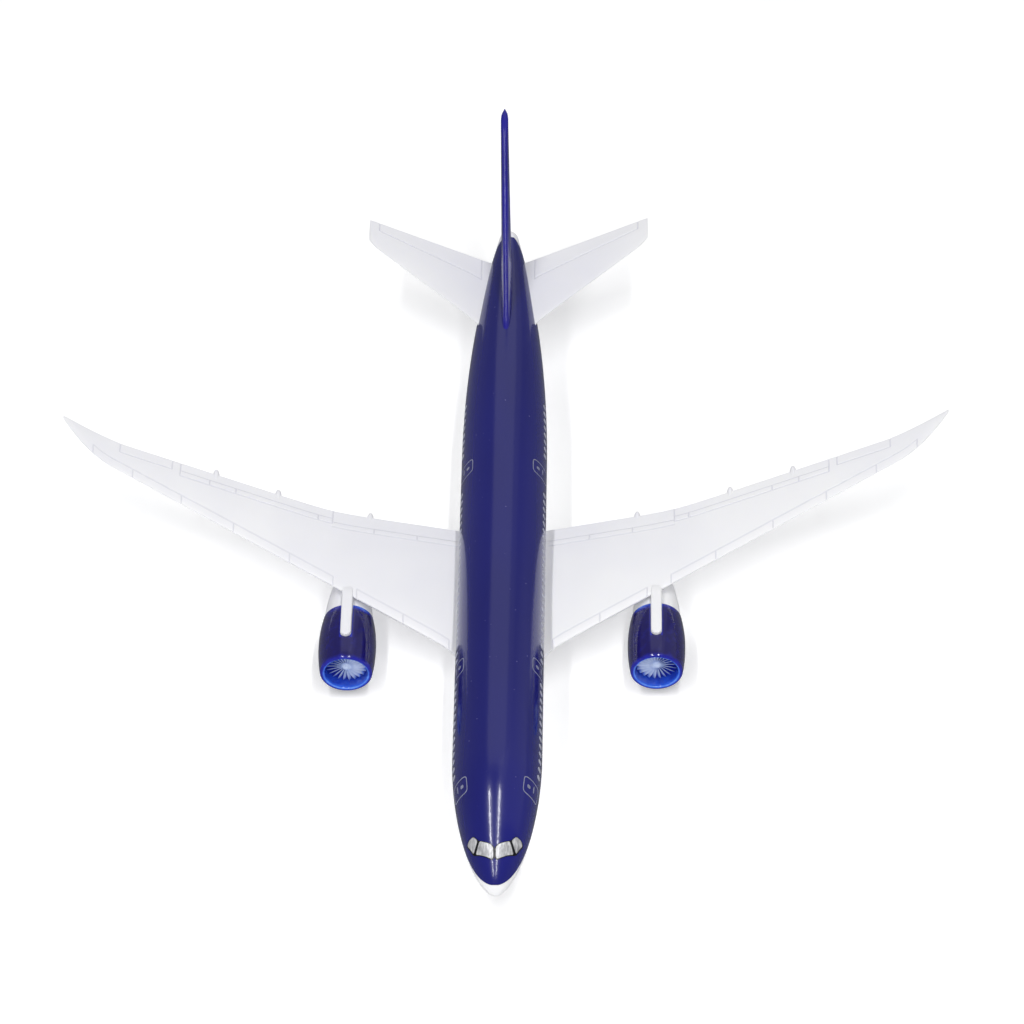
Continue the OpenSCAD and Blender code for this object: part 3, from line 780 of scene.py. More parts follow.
def tail_lines(x, front, back):
    """The elevator's lines, at a share of the chord ahead of the trailing edge."""
    return flap_lines(x, back, ELEVATOR_SHARE * (front + back), ELEVATOR)


def tail_relief(x, front, back):
    """Height in mm of the tailplane's sunk lines."""
    return -TAIL_RELIEF * tail_lines(x, front, back)


def tailplane_skin(side, grow=0.0, fine=True, name="tailplane"):
    """The tailplane: thickness tapers evenly and closes like an ellipse at the tip."""
    x = stations_with_lines(TAIL_ROOT_X, HALF_TAIL, 90 if fine else 12, ELEVATOR if fine else ())
    held = np.maximum(x, TAIL_HELD_X)
    thick = 1.35 - 0.55 * x / 24 + 2 * grow
    if fine:
        thick = thick * np.sqrt(1 - 0.9 * clamp01((x - HALF_TAIL + 0.5) / 0.5) ** 2)
    middle = TAIL_ROOT_Z + (x - TAIL_ROOT_X) * TAIL_RISE
    a, s, h = blade_rings(x, tail_le(held) - grow, tail_te(held) + grow, middle, thick, (0.5, 0.5),
                          tail_relief if fine else no_relief, (24, 30, 40) if fine else (14, 8, 8))
    return tube(name, np.stack([side * a, s, h], axis=-1), WHITE if fine else None, smooth_angle=32)


def tailplane(name, side):
    """A tailplane whose lines are darkened on the upper side with painted shade."""
    piece = tailplane_skin(side, name=f"tailplane_skin_{name}")
    p = vertices_of(piece)
    px = np.abs(p[:, 0])
    upper = p[:, 2] > TAIL_ROOT_Z + (px - TAIL_ROOT_X) * TAIL_RISE
    groove_shade = tail_lines(px, p[:, 1] - tail_le(np.maximum(px, TAIL_HELD_X)), tail_te(px) - p[:, 1])
    fit_out_white(piece, f"tailplane_{name}", np.where(upper, groove_shade, 0))


def fin_le(z):
    """Leading edge of the fin: a straight sweep, a long root fillet and a rounded top corner."""
    z = np.maximum(z, 6.6)
    return (117 + 0.88 * (z - 7) - 4.2 * np.exp(-(z - 6.4) / 0.9)
            + 0.9 * np.maximum(0, z - FIN_TOP + 1.5) ** 2)


def fin_te(z):
    """Trailing edge of the fin: upright at the root, then a straight sweep to the top."""
    return 134.6 + (FIN_TIP_STATION - 134.6) * np.maximum(0, z - 7) / (FIN_TOP - 7)


def fin_skin(grow=0.0, fine=True, name="fin"):
    """The fin, upright, with its rudder's lines sunk alike in both sides."""
    z = stations_with_lines(FIN_ROOT_Z, FIN_TOP, 110 if fine else 24, RUDDER if fine else ())
    thick = FIN_ROOT_T - FIN_TAPER * (z - FIN_ROOT_Z) / (FIN_TOP - FIN_ROOT_Z) + 2 * grow
    if fine:
        thick = thick * np.sqrt(1 - 0.9 * clamp01((z - FIN_TOP + 0.45) / 0.45) ** 2)
    lead, trail = fin_le(z) - grow, fin_te(z) + grow
    chord = (trail - lead)[:, None]
    run = chord_ladder(chord[:, 0], 24, 30, 30) if fine else chord_ladder(chord[:, 0], 14, 8, 8)
    half = thick[:, None] * 0.5 * section_t(run / chord)
    if fine:
        half = half - FIN_RELIEF * flap_lines(z[:, None], chord - run, RUDDER_SHARE * chord, RUDDER)
    s = np.concatenate([run[:, ::-1], run], axis=1) + lead[:, None]
    x = np.concatenate([half[:, ::-1], -half], axis=1)
    return tube(name, np.stack(np.broadcast_arrays(x, s, z[:, None]), axis=-1),
                FIN_BLUE if fine else None, smooth_angle=32)


# ---- shells and belly --------------------------------------------------------------------------

def fuselage_shells():
    """Both shells with their slots for the wings, tailplanes and fin, their bosses and screw holes."""
    upper = tube("fuselage_upper_skin", shell_rings(True), ENAMEL)
    carve(upper, [rod(0, s, PARTING_Z + 0.02, CROWN_Z - 0.5, BOSS_R) for s in CASE_SCREWS], "UNION")
    cutters = [rod(0, s, PARTING_Z - 1, PARTING_Z + 5, SCREW_R) for s in CASE_SCREWS]
    cutters.append(fin_skin(GAP, fine=False))
    cutters += [tailplane_skin(side, GAP, fine=False) for side in SIDES.values()]
    carve(upper, cutters)
    fit_out(upper, "airframe", "blue_enamel", "fuselage_upper")
    lower = tube("fuselage_lower_skin", shell_rings(False), WHITE)
    carve(lower, [rod(0, s, KEEL_Z + 0.4, PARTING_Z - 0.02, BOSS_R) for s in CASE_SCREWS], "UNION")
    cutters = [wing_skin(side, GAP, fine=False) for side in SIDES.values()]
    cutters.append(brick((-TAB_X, TAB_RUN[0] - GAP, TAB_Z[0] - GAP),
                         (TAB_X, TAB_RUN[1] + GAP, TAB_Z[1] + GAP)))
    cutters += [tailplane_skin(side, GAP, fine=False) for side in SIDES.values()]
    for s in CASE_SCREWS:
        cutters.append(rod(0, s, KEEL_Z - 1, KEEL_Z + 7, SCREW_R + 0.1))
        cutters.append(rod(0, s, KEEL_Z - 1, KEEL_Z + 0.5 + SCREW_HEAD[1], SCREW_HEAD[0] + 0.1))
    cutters.append(rod(0, STAND_STATION, KEEL_Z - 1, KEEL_Z + 2, STAND_BOSS_R + GAP))
    cutters += [rod(0, s, KEEL_Z - 1, KEEL_Z + 2, SCREW_R) for s in FAIRING_SCREWS]
    cutters.append(rod(0, NOSE_GEAR_STATION, KEEL_Z - 1, KEEL_Z + 3, PEG_R))
    carve(lower, cutters)
    fit_out_white(lower, "fuselage_lower")


def belly():
    """The belly fairing: superellipse rings that swell between its two ends, cut to the fuselage."""
    t = 0.03 + 0.94 * (1 - np.cos(np.pi * np.linspace(0, 1, 90))) / 2
    s = BELLY[0] + t * (BELLY[1] - BELLY[0])
    bulge = np.sin(np.pi * t) ** 0.6
    w = 3.2 + 4.4 * bulge
    low = KEEL_Z + 0.45 + (BELLY_Z - KEEL_Z - 0.45) * bulge
    high = -5.4 + 0.9 * bulge
    a = np.linspace(0, 2 * np.pi, 120, endpoint=False)[None, :]
    c, d = np.cos(a), np.sin(a)
    x = w[:, None] * np.sign(c) * np.abs(c) ** 0.8
    z = ((high + low) / 2)[:, None] + ((high - low) / 2)[:, None] * np.sign(d) * np.abs(d) ** 0.8
    piece = tube("belly_fairing_skin", np.stack(np.broadcast_arrays(x, s[:, None], z), axis=-1), WHITE)
    cutters = [fuselage_solid()] + [wing_skin(side, GAP, fine=False) for side in SIDES.values()]
    carve(piece, cutters)
    carve(piece, [rod(0, STAND_STATION, BELLY_Z + 0.3, -4.6, STAND_BOSS_R)], "UNION")
    rim = [[0, BELLY_Z - 1], [STAND_R + 0.25, BELLY_Z - 1], [STAND_R + 0.25, BELLY_Z],
           [STAND_R, BELLY_Z + 0.25], [STAND_R, BELLY_Z + STAND_DEPTH], [0, BELLY_Z + STAND_DEPTH]]
    cutters = [turned("socket", rim, (0, STAND_STATION, 0), "z", steps=96)]
    for s in FAIRING_SCREWS:
        cutters.append(rod(0, s, BELLY_Z - 1, BELLY_Z + 3, SCREW_R + 0.1))
        cutters.append(rod(0, s, BELLY_Z - 1, BELLY_Z + SCREW_HEAD[1], SCREW_HEAD[0]))
    carve(piece, cutters)
    fit_out_white(piece, "belly_fairing")


# ---- engines -----------------------------------------------------------------------------------

def cowl_outline():
    """Closed outline of the cowl's wall, as radius and station: duct, round lip, outer curve."""
    lip = np.radians(np.linspace(150, 10, 30))
    t = np.linspace(0.05, 1, 34)
    u = np.linspace(0.05, 1, 22)
    rows = [[[DUCT_R + 0.05, COWL_BACK - 0.6], [DUCT_R + 0.05, FAN_STATION + 0.5],
             [DUCT_R, COWL_FRONT + 0.7]],
            np.stack([DUCT_R + 0.42 + 0.42 * np.cos(lip), COWL_FRONT + 0.45 - 0.45 * np.sin(lip)], axis=-1),
            np.stack([DUCT_R + 0.84 + (COWL_R - DUCT_R - 0.84) * np.sin(np.pi / 2 * t ** 0.8),
                      COWL_FRONT + 0.5 + 5.2 * t], axis=-1),
            np.stack([COWL_R - 0.6 * u * u, COWL_FRONT + 5.7 + 5.9 * u], axis=-1)]
    return np.concatenate(rows)


def pylon(side, grow=0.0):
    """The long finger on the cowl: a bar with a round front end and softened upper edges."""
    r = PYLON_HALF + grow
    turn = np.linspace(0, np.pi, 40)
    levels = np.array([[PYLON_TOP - 3, 0], [PYLON_TOP - 0.28, 0], [PYLON_TOP - 0.14, 0.04],
                       [PYLON_TOP - 0.04, 0.14], [PYLON_TOP, 0.3]])
    if grow:
        levels = np.array([[PYLON_TOP - 3, 0], [PYLON_TOP + grow, 0]])
    inner = (r - levels[:, 1])[:, None]
    x = np.concatenate([inner * np.cos(turn), -inner, inner], axis=1)
    front = PYLON_FRONT + PYLON_HALF
    rear = 0 * inner + front + 17
    s = np.concatenate([front - inner * np.sin(turn), rear, rear], axis=1)
    z = np.repeat(levels[:, 0][:, None], x.shape[1], axis=1)
    return tube("pylon", np.stack([side * ENGINE_X + x, s, z], axis=-1))


def engine_middle(side):
    return (side * ENGINE_X, 0, ENGINE_Z)


def engine_cowl(name, side):
    """A cowl whose lacquer runs thin at its lip, rear shoulder, slot and duct."""
    piece = turned(f"engine_cowl_skin_{name}", cowl_outline(), engine_middle(side), "y", COWL_LACQUER,
                   steps=160, closed=True)
    carve(piece, [pylon(side, GAP)])
    p = vertices_of(piece)
    x = p[:, 0] - side * ENGINE_X
    z = p[:, 2] - ENGINE_Z
    s = p[:, 1]
    r = np.hypot(x, z)
    lip = 1 - smooth((s - COWL_FRONT) / 0.7)
    lip_inside = lip * (1 - smooth((r - DUCT_R - 0.12) / 0.4))
    rear = smooth((s - COWL_BACK + 1.4) / 1.4)
    inboard = -side * x / np.maximum(r, 0.1)
    shoulder = smooth((z / np.maximum(r, 0.1) - 0.1) / 0.9)
    rim = 0.26 * lip + 0.5 * lip_inside + (0.3 + 0.7 * smooth(inboard)) * rear * shoulder
    slot_edge = (1 - smooth((np.abs(np.abs(x) - PYLON_HALF) - 0.05) / 0.22)) * (z > 0) * (s > PYLON_FRONT)
    duct = 0.45 * (r < DUCT_R + 0.2) * (s > COWL_FRONT + 0.5)
    set_attribute(piece, "thin", clamp01(rim + 0.35 * slot_edge + duct))
    fit_out(piece, "airframe", "cowl_paint", f"engine_cowl_{name}")


def engine_core(name, side):
    """Rear body of the engine: fan case, closing nozzle curve, tail plug, and the finger on top."""
    t = np.linspace(0, 1, 24)
    front = [[0, FAN_STATION + 0.9], [DUCT_R, FAN_STATION + 0.9], [DUCT_R, COWL_BACK - 0.6],
             [4.0, COWL_BACK + 0.02]]
    back = np.stack([4.0 - 1.0 * t ** 1.6, 59.62 + 6.78 * t], axis=-1)
    nozzle = [[2.75, 66.4], [2.6, 66.1], [2.3, 66.1], [2.25, 66.6], [2.1, 69], [1.95, 69],
              [1.85, 68.7], [1.2, 68.7], [1.1, 69.4], [0.5, 71.1], [0.2, 71.35], [0, 71.4]]
    profile = np.concatenate([front, back, nozzle])
    piece = turned(f"engine_core_skin_{name}", profile, engine_middle(side), "y", WHITE, steps=128,
                   smooth_angle=30)
    finger = pylon(side)
    carve(finger, [turned("duct", [[0, 40], [DUCT_R - 0.02, 40], [DUCT_R - 0.02, 90], [0, 90]],
                          engine_middle(side), "y", steps=128)])
    carve(piece, [finger], "UNION", 30)
    carve(piece, [wing_skin(side, GAP, fine=False), canoe(FAIRING_X[0], side)], smooth_angle=30)
    fit_out_white(piece, f"engine_core_{name}")


def fan_blades(side):
    """All blades at once: each a thin cambered blade whose lean grows from root to tip."""
    rings, steps = BLADE_GRID
    u = np.linspace(0, 1, rings)[:, None]
    v = np.linspace(0, 2 * np.pi, steps, endpoint=False)[None, :]
    r = 0.7 + (DUCT_R - 0.1 - 0.7) * u
    chord = 0.34 + 0.30 * np.sin(np.pi * (0.15 + 0.7 * u))
    lean = np.radians(34 + 26 * u)
    a = np.cos(v) * chord / 2
    b = np.sin(v) * (0.075 - 0.03 * u) + 0.05 * (1 - (2 * a / chord) ** 2)
    across = a * np.sin(lean) + b * np.cos(lean)
    along = -a * np.cos(lean) + b * np.sin(lean)
    turn = 2 * np.pi * np.arange(FAN_BLADES)[:, None, None] / FAN_BLADES
    x = r * np.cos(turn) - side * across * np.sin(turn)
    z = r * np.sin(turn) + side * across * np.cos(turn)
    s = np.broadcast_to(FAN_STATION - 0.12 + along, x.shape)
    points = np.stack([x, s, z], axis=-1) + np.array(engine_middle(side))
    starts = rings * steps * np.arange(FAN_BLADES)
    faces = (grid_quads(rings, steps, wrap_cols=True)[None] + starts[:, None, None]).reshape(-1, 4).tolist()
    ring = np.arange(steps)
    for start in starts:
        faces.append((start + ring).tolist())
        faces.append((start + (rings - 1) * steps + ring[::-1]).tolist())
    return make_piece("blades", points.reshape(-1, 3), faces)


def fan(name, side):
    """Spinner, disc and blades; the wash pools between the blades and round the spinner."""
    nose = np.linspace(0, np.pi / 2, 20)
    spinner = np.stack([SPINNER_R * np.sin(nose), FAN_STATION + 0.12 - 0.68 * np.cos(nose)], axis=-1)
    profile = np.concatenate([spinner, [[SPINNER_R, FAN_STATION + 0.16], [DUCT_R - 0.02, FAN_STATION + 0.16],
                                        [DUCT_R - 0.02, FAN_STATION + 0.88], [0, FAN_STATION + 0.88]]])
    piece = turned(f"fan_wheel_{name}", profile, engine_middle(side), "y", FAN, steps=128, smooth_angle=35)
    carve(piece, [fan_blades(side)], "UNION", 35)
    p = vertices_of(piece)
    z = p[:, 2] - ENGINE_Z
    r = np.hypot(p[:, 0] - side * ENGINE_X, z)
    deep = smooth((p[:, 1] - FAN_STATION + 0.25) / 0.45) * 0.45
    deep = deep + 0.35 * np.exp(-((r - SPINNER_R - 0.08) / 0.12) ** 2)
    set_attribute(piece, "pooled", clamp01(deep + 0.55 * smooth((r - 2.5) / 1.1) * smooth(0.6 - z / 4)))
    fit_out(piece, "airframe", "fan_blue", f"fan_{name}")


# ---- undercarriage -----------------------------------------------------------------------------

def cross_bar(middle, r, length, name="cross_bar", material=None, chamfer=0.06):
    """A round bar along x with chamfered ends."""
    half = length / 2
    profile = [[0, -half], [r - chamfer, -half], [r, -half + chamfer], [r, half - chamfer],
               [r - chamfer, half], [0, half]]
    return turned(name, profile, middle, "x", material, steps=48)


def leg(name, x, s, top, wheel_r, strut_r, axles, slot_nodes):
    """A landing gear leg: peg, sleeve, slimmer slide with a collar, foot round each axle."""
    ground = -BARREL_HEIGHT
    foot = ground + wheel_r
    waist = foot + 0.55 * (top - foot)
    profile = [[0, foot], [strut_r * 0.72, foot], [strut_r * 0.72, waist - 0.12], [strut_r, waist - 0.04],
               [strut_r, waist + 0.3], [strut_r * 0.9, waist + 0.36], [strut_r * 0.9, top - 0.3],
               [strut_r, top - 0.2], [strut_r, top - 0.02], [PEG_R - 0.01, top - 0.02],
               [PEG_R - 0.01, top + 0.78], [PEG_R - 0.09, top + 0.86], [0, top + 0.86]]
    piece = turned(name, profile, (x, s, 0), "z", LEG_SILVER, steps=64, smooth_angle=30)
    extras = [cross_bar((x, s + d, foot), 0.8, 0.9) for d in axles]
    extras.append(brick((x - 0.22, s + 0.3, waist - 1.0), (x + 0.22, s + 1.0, waist - 0.7), 0.05))
    extras.append(brick((x - 0.22, s + 0.3, waist + 0.0), (x + 0.22, s + 0.85, waist + 0.28), 0.05))
    if len(axles) > 1:
        extras.append(brick((x - 0.4, s - BOGIE_HALF, foot - 0.42),
                            (x + 0.4, s + BOGIE_HALF, foot + 0.42), 0.1))
    else:
        extras.append(brick((x - 0.25, s - 2.1, top - 1.25), (x + 0.25, s, top - 0.8), 0.06))
    carve(piece, extras, "UNION", 30)
    bores = [cross_bar((x, s + d, foot), AXLE_R + AXLE_GAP, 3, chamfer=0.001) for d in axles]
    carve(piece, bores, smooth_angle=30)
    fit_out(piece, "airframe", "leg_silver", slot_nodes)


def tyre_outline(r, w):
    """Closed outline of a tyre: rounded shoulders, three tread grooves, bead on the rim."""
    t = np.linspace(-1, 1, 61)
    tread = r * (0.985 - 0.13 * np.abs(t) ** 3.2) + 0.015 * r
    tread = tread - 0.06 * sum(ridge(t, g, 0.05, 0.05) for g in (-0.42, 0.0, 0.42))
    outer = np.stack([tread, t * w * 0.49], axis=-1)
    bead = [[r * 0.64, w * 0.49], [r * 0.58, w * 0.42], [r * 0.58, -w * 0.42], [r * 0.64, -w * 0.49]]
    return np.concatenate([outer, bead])


def hub_outline(r, w):
    """Closed outline of a dished hub from its bore to its rim, both faces alike."""
    t = np.linspace(0, 1, 14)
    radius = AXLE_R + (r * 0.58 - AXLE_R) * t
    dish = 0.10 * np.sin(np.pi * clamp01((t - 0.15) / 0.75)) ** 2
    face = w * (0.32 - dish + 0.1 * smooth((t - 0.85) / 0.15))
    return np.concatenate([np.stack([radius, face], axis=-1), np.stack([radius, -face], axis=-1)[::-1]])


def wheel_set(tag, body, x, s, wheel, axle_node, wheel_node):
    """Two tyres and hubs on their axle, which turn together."""
    r, w, length = wheel
    z = r - BARREL_HEIGHT
    outer = (length - w) / 2
    for kind, outline, material in (("tyres", tyre_outline(r, w), TYRE), ("hubs", hub_outline(r, w), HUB)):
        pair = [turned(f"{kind}_{tag}", outline, (x + side * outer, s, z), "x", material, 72, closed=True,
                       smooth_angle=30) for side in SIDES.values()]
        piece = join_pieces(f"{kind}_{tag}", pair)
        fit_out(piece, body, "tyre_grey", wheel_node)
    axle = cross_bar((x, s, z), AXLE_R, length, f"axle_{tag}", STEEL)
    fit_out(axle, body, "axle_steel", axle_node)


def undercarriage():
    """The nose leg with one pair of wheels, and two main legs with two pairs each."""
    s = NOSE_GEAR_STATION
    top = float(keel_line(np.array(s)))
    leg("nose_leg_casting", 0, s, top, NOSE_WHEEL[0], 0.55, (0,), "nose_leg")
    wheel_set("nose", "nose_wheelset", 0, s, NOSE_WHEEL, "nose_axle", "nose_wheels")
    x, s = MAIN_GEAR
    top = float(wing_z(np.array(x))) - 1
    for name, side in SIDES.items():
        leg(f"main_leg_casting_{name}", side * x, s, top, MAIN_WHEEL[0], 0.7, (-BOGIE_HALF, BOGIE_HALF),
            f"main_leg_{name}")
        for end, step in (("front", -BOGIE_HALF), ("rear", BOGIE_HALF)):
            wheel_set(f"{name}_{end}", f"main_wheelset_{name}_{end}", side * x, s + step, MAIN_WHEEL,
                      f"main_axle_{name}_{end}", f"main_wheels_{name}_{end}")


def screws(name, stations, face, length, node):
    """Cross-head screws seen from below: a head with a softened rim, a cross recess and a shank."""
    r, h = SCREW_HEAD
    made = []
    for s in stations:
        profile = [[0, face + 0.04], [r * 0.6, face], [r - 0.2, face + 0.03], [r - 0.06, face + 0.15],
                   [r - 0.02, face + 0.35], [r - 0.02, face + h - 0.02], [SCREW_R - 0.02, face + h - 0.02],
                   [SCREW_R - 0.02, face + length - 0.4], [0.2, face + length], [0, face + length]]
        piece = turned(name, profile, (0, s, 0), "z", SCREW, steps=64, smooth_angle=30)
        carve(piece, [brick((-0.7, s - 0.13, face - 0.5), (0.7, s + 0.13, face + 0.4)),
                      brick((-0.13, s - 0.7, face - 0.5), (0.13, s + 0.7, face + 0.39))], smooth_angle=30)
        made.append(piece)
    fit_out(join_pieces(name, made), "airframe", "screw_steel", node)


# ---- printed marks -----------------------------------------------------------------------------

WINDOW_ROW = math.radians(15.5)
WINDOW_PITCH = 1.6
WINDOW_RUNS = ((18.6, 38.2), (43.0, 80.6), (88.8, 101.2))
WINDOW_HALF = (0.36, 0.62)      # half sizes along the barrel and round it
DOORS = ((15.1, 29.0), (40.4, 21.0), (84.0, 27.0))      # middles: station, degrees round the barrel
DOOR_HALF = (1.45, 2.3)
DOOR_LINE = 0.16


def mirror_angle(angle, side):
    return angle if side == PORT else np.pi - angle


CORNER_CUT = 0.14
PATH_STEP = 0.12                # longest stretch between two points of a path


def outlined(corners):
    """A closed path along a polygon whose corners are cut, with points close together."""
    corners = np.asarray(corners, dtype=float)
    ahead = np.roll(corners, -1, axis=0) - corners
    length = np.linalg.norm(ahead, axis=1, keepdims=True)
    reach = np.minimum(CORNER_CUT, length / 3) * ahead / length
    ends = np.stack([corners + reach, corners + ahead - reach], axis=1).reshape(-1, 2)
    path = []
    for here, after in zip(ends, np.roll(ends, -1, axis=0)):
        count = max(2, math.ceil(math.dist(here, after) / PATH_STEP) + 1)
        path.append(np.linspace(here, after, count)[:-1])
    return np.concatenate(path)


def printed_patches(name, outlines, material, lift):
    """Thin raised patches of ink: each outline, as station and angle, is filled by rings that shrink
    to its middle, lifted off the skin and closed underneath."""
    shares = np.concatenate([[1.0, 1.0, 0.96], np.linspace(0.9, 0.1, 9)])
    lifts = np.concatenate([[-0.04, 0.5 * lift], np.full(10, lift)])
    points, faces, start = [], [], 0
    for outline in outlines:
        k = len(outline)
        middle = outline.mean(axis=0)
        flat = middle + shares[:, None, None] * (outline - middle)
        points.append(on_skin(flat[..., 0], flat[..., 1], lifts[:, None]).reshape(-1, 3))
        faces += (grid_quads(len(shares), k, wrap_cols=True) + start).tolist()
        faces.append(list(range(start, start + k)))
        faces.append(list(range(start + (len(shares) - 1) * k, start + len(shares) * k))[::-1])
        start += len(shares) * k
    piece = make_piece(name, np.concatenate(points), faces, material)
    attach(piece, "airframe")
    return piece


def printed_lines(name, paths, width, material, lift):
    """Thin raised lines of ink along closed paths of station and distance round the barrel."""
    points, faces, start = [], [], 0
    for path in paths:
        step = np.roll(path, -1, axis=0) - np.roll(path, 1, axis=0)
        across = np.stack([-step[:, 1], step[:, 0]], axis=-1)
        across = across / np.linalg.norm(across, axis=1, keepdims=True) * width / 2
        ring = np.stack([path - across, path - across, path + across, path + across], axis=1)
        lifts = np.array([-0.04, lift, lift, -0.04])[None, :]
        points.append(on_skin(ring[..., 0], ring[..., 1] / BARREL_R, lifts).reshape(-1, 3))
        faces += (grid_quads(len(path), 4, wrap_cols=True, wrap_rows=True) + start).tolist()
        start += len(path) * 4
    piece = make_piece(name, np.concatenate(points), faces, material)
    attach(piece, "airframe")
    return piece


def oval(s, angle, half_s, half_arc, count=16, power=0.7):
    """A rounded-rectangle outline about a point, as station and angle."""
    t = np.linspace(0, 2 * np.pi, count, endpoint=False)
    c, d = np.cos(t), np.sin(t)
    return np.stack([s + half_s * np.sign(c) * np.abs(c) ** power,
                     angle + half_arc / BARREL_R * np.sign(d) * np.abs(d) ** power], axis=-1)


def cabin_prints():
    """Cabin windows, door outlines and the small marks in each door, on both sides."""
    windows, panes, frames = [], [], []
    for side in SIDES.values():
        for low, high in WINDOW_RUNS:
            for s in np.arange(low, high + 0.01, WINDOW_PITCH):
                windows.append(oval(s, mirror_angle(WINDOW_ROW, side), *WINDOW_HALF))
        for s, degrees in DOORS:
            middle = math.radians(degrees)
            box = oval(s, mirror_angle(middle, side), *DOOR_HALF, 56, 0.35)
            frames.append(box * np.array([1, BARREL_R]))
            panes.append(oval(s, mirror_angle(middle + 0.14, side), 0.3, 0.42))
            panes.append(oval(s + 0.25, mirror_angle(middle - 0.06, side), 0.62, 0.14))
    printed_patches("cabin_windows", windows, PALE_INK, 0.03)
    printed_patches("door_windows", panes, GREY_INK, 0.025)
    printed_lines("door_outlines", frames, DOOR_LINE, GREY_INK, 0.025)


COCKPIT_INNER = ((0.2, 4.21), (0.62, 4.64), (2.37, 5.40), (2.94, 3.98), (0.48, 2.79), (0.2, 2.94))
COCKPIT_OUTER = ((2.68, 5.58), (3.37, 6.39), (4.16, 6.33), (4.3, 5.98), (3.32, 4.28))
COCKPIT_FRAME = ((0, 2.84), (0.47, 2.68), (2.98, 3.87), (3.36, 4.15), (4.41, 5.95), (4.25, 6.42),
                 (3.35, 6.5), (2.6, 5.64), (2.4, 5.5), (0.57, 4.74), (0, 4.26))


def cockpit_prints():
    """Four silver panes over black ink; corners are distances from the centreline and stations."""
    for name, group, material, lift in (
            ("cockpit_panes", (COCKPIT_INNER, COCKPIT_OUTER), SILVER, 0.04),
            ("cockpit_frame", (COCKPIT_FRAME,), BLACK_INK, 0.02)):
        patches = []
        for side in SIDES.values():
            for path in map(outlined, group):
                angle = np.arccos(np.clip(side * path[:, 0] / half_width(path[:, 1]), -1, 1))
                patches.append(np.stack([path[:, 1], angle], axis=-1))
        printed_patches(name, patches, material, lift)


fuselage_shells()
belly()
for side_name, side_sign in SIDES.items():
    wing(side_name, side_sign)
    tailplane(side_name, side_sign)
    engine_cowl(side_name, side_sign)
    engine_core(side_name, side_sign)
    fan(side_name, side_sign)
fit_out(fin_skin(name="fin_skin"), "airframe", "blue_fin", "fin")
undercarriage()
screws("case_screw_set", CASE_SCREWS, KEEL_Z + 0.5, 8, "case_screws")
screws("fairing_screw_set", FAIRING_SCREWS, BELLY_Z, 3.2, "fairing_screws")
cabin_prints()
cockpit_prints()

# ---- stage, light and camera -------------------------------------------------------------------

scene = bpy.context.scene


FLOOR_GLOW = 0.2
FLOOR_HALF_WIDTH = 6000.0
FLOOR_FRONT = -2000.0
FLOOR_BEND = 1300.0                 # here the floor starts to curve up
FLOOR_BEND_R = 900.0
FLOOR_WALL = 1500.0                 # height of the upright end above the bend


def stage_floor():
    """An opal light table: a pale floor that glows a little, curving up behind the model."""
    material, tree, bsdf, place = new_material("opal_acrylic_light_table")
    cloud = add(tree, "TexNoise", [("Vector", place)], Scale=1 / (60 * MM)).outputs["Fac"]
    pale = add(tree, "ValToRGB", [("Fac", cloud)], [(0.4, "#fafafa"), (0.6, "#ffffff")]).outputs[0]
    fill(tree, bsdf, [("Base Color", pale)], Roughness=0.9, Emission_Color=(1, 1, 1, 1),
         Emission_Strength=FLOOR_GLOW)
    run = np.linspace(0, 1, 60)
    bend = clamp01((run - 0.6) / 0.3)
    level = FLOOR_FRONT + (FLOOR_BEND - FLOOR_FRONT) * run / 0.6
    y = np.where(run < 0.6, level, FLOOR_BEND + FLOOR_BEND_R * np.sin(np.pi / 2 * bend))
    z = FLOOR_BEND_R * (1 - np.cos(np.pi / 2 * bend)) + FLOOR_WALL * clamp01((run - 0.9) / 0.1)
    x = np.array([-1, 0, 1]) * FLOOR_HALF_WIDTH
    grid = np.stack(np.broadcast_arrays(x[None, :], y[:, None], z[:, None]), axis=-1) * MM
    mesh = bpy.data.meshes.new("light_table")
    mesh.from_pydata(grid.reshape(-1, 3).tolist(), [], grid_quads(60, 3, flip=True).tolist())
    mesh.shade_smooth()
    mesh.materials.append(material)
    floor = bpy.data.objects.new("light_table", mesh)
    floor.visible_glossy = False
    scene.collection.objects.link(floor)


def panel(name, place, aim, size, radiance):
    """A rectangular softbox of even radiance: its power is radiance times pi times its area."""
    data = bpy.data.lights.new(name, "AREA")
    data.shape = "RECTANGLE"
    data.size, data.size_y = size
    data.energy = radiance * math.pi * size[0] * size[1]
    light = bpy.data.objects.new(name, data)
    light.visible_camera = False
    light.location = place
    light.rotation_euler = (Vector(aim) - Vector(place)).to_track_quat("-Z", "Y").to_euler()
    scene.collection.objects.link(light)
    return light


WORLD_GLOW = 0.2
STRIP_TILT = {"left": math.radians(11), "right": math.radians(-16)}   # from straight up, towards +X
STRIP_HEIGHT = 0.62
STRIP_RUN = (-1.2, 0.045)
STRIP_WIDTH = 0.035
STRIP_RADIANCE = 26
LIGHT_AIM = (0, 0, 0.02)
PANELS = (("panel_behind", (0.01, 0.95, 0.95), (0.92, 1.05), 0.26),
          ("panel_behind_wide", (0.1, 0.98, 0.98), (1.3, 1.4), 0.12),
          ("panel_right", (0.85, 0.3, 0.8), (1.1, 1.7), 0.16))


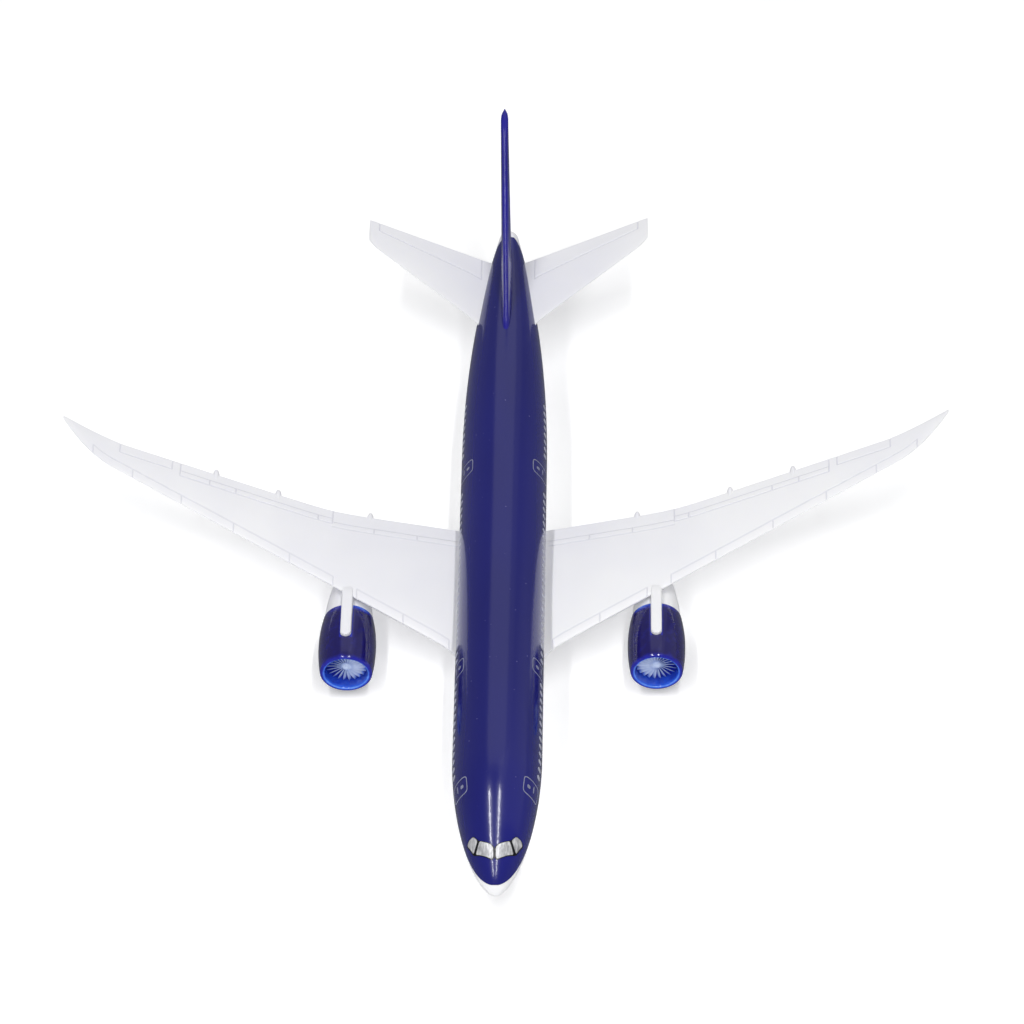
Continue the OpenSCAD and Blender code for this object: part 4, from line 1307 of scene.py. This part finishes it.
def studio_light():
    """Two long strips overhead draw the two bright streaks on the nose; a wide dim panel behind the
    tail draws the pale band along the crown."""
    world = bpy.data.worlds.new("studio")
    world.use_nodes = True
    back = world.node_tree.nodes["Background"]
    back.inputs["Color"].default_value = (0.97, 0.98, 1.0, 1)
    back.inputs["Strength"].default_value = WORLD_GLOW
    scene.world = world
    for name, tilt in STRIP_TILT.items():
        x = STRIP_HEIGHT * math.tan(tilt)
        y = sum(STRIP_RUN) / 2
        strip = panel(f"strip_{name}", (x, y, STRIP_HEIGHT), (0, y, LIGHT_AIM[2]),
                      (STRIP_WIDTH, STRIP_RUN[1] - STRIP_RUN[0]), STRIP_RADIANCE)
        strip.rotation_euler = (0, math.atan2(x, STRIP_HEIGHT), 0)
    for name, place, size, radiance in PANELS:
        panel(name, place, LIGHT_AIM, size, radiance)


CAMERA_DISTANCE = 0.810
CAMERA_ELEVATION = 47.1
CAMERA_AZIMUTH = -2.6
CAMERA_ROLL = 2.26
CAMERA_LENS = 170.2
CAMERA_AIM = (1.46, 78.16, -0.16)


def set_camera():
    """A long lens high ahead of the nose, rolled a little."""
    azimuth, elevation, roll = (math.radians(v) for v in (CAMERA_AZIMUTH, CAMERA_ELEVATION, CAMERA_ROLL))
    forward = Vector((math.sin(azimuth) * math.cos(elevation), math.cos(azimuth) * math.cos(elevation),
                      -math.sin(elevation)))
    level = Vector((math.cos(azimuth), -math.sin(azimuth), 0))
    up = level.cross(forward)
    right = math.cos(roll) * level - math.sin(roll) * up
    top = math.sin(roll) * level + math.cos(roll) * up
    aim = Vector(to_world(CAMERA_AIM).tolist())
    place = aim - CAMERA_DISTANCE * forward
    data = bpy.data.cameras.new("camera")
    data.sensor_width = 36
    data.lens = CAMERA_LENS
    data.clip_start = 0.01
    data.clip_end = 20
    camera = bpy.data.objects.new("camera", data)
    axes = Matrix((right, top, -forward)).transposed().to_4x4()
    camera.matrix_world = Matrix.Translation(place) @ axes
    scene.collection.objects.link(camera)
    scene.camera = camera


stage_floor()
studio_light()
set_camera()
scene.view_settings.view_transform = "Standard"
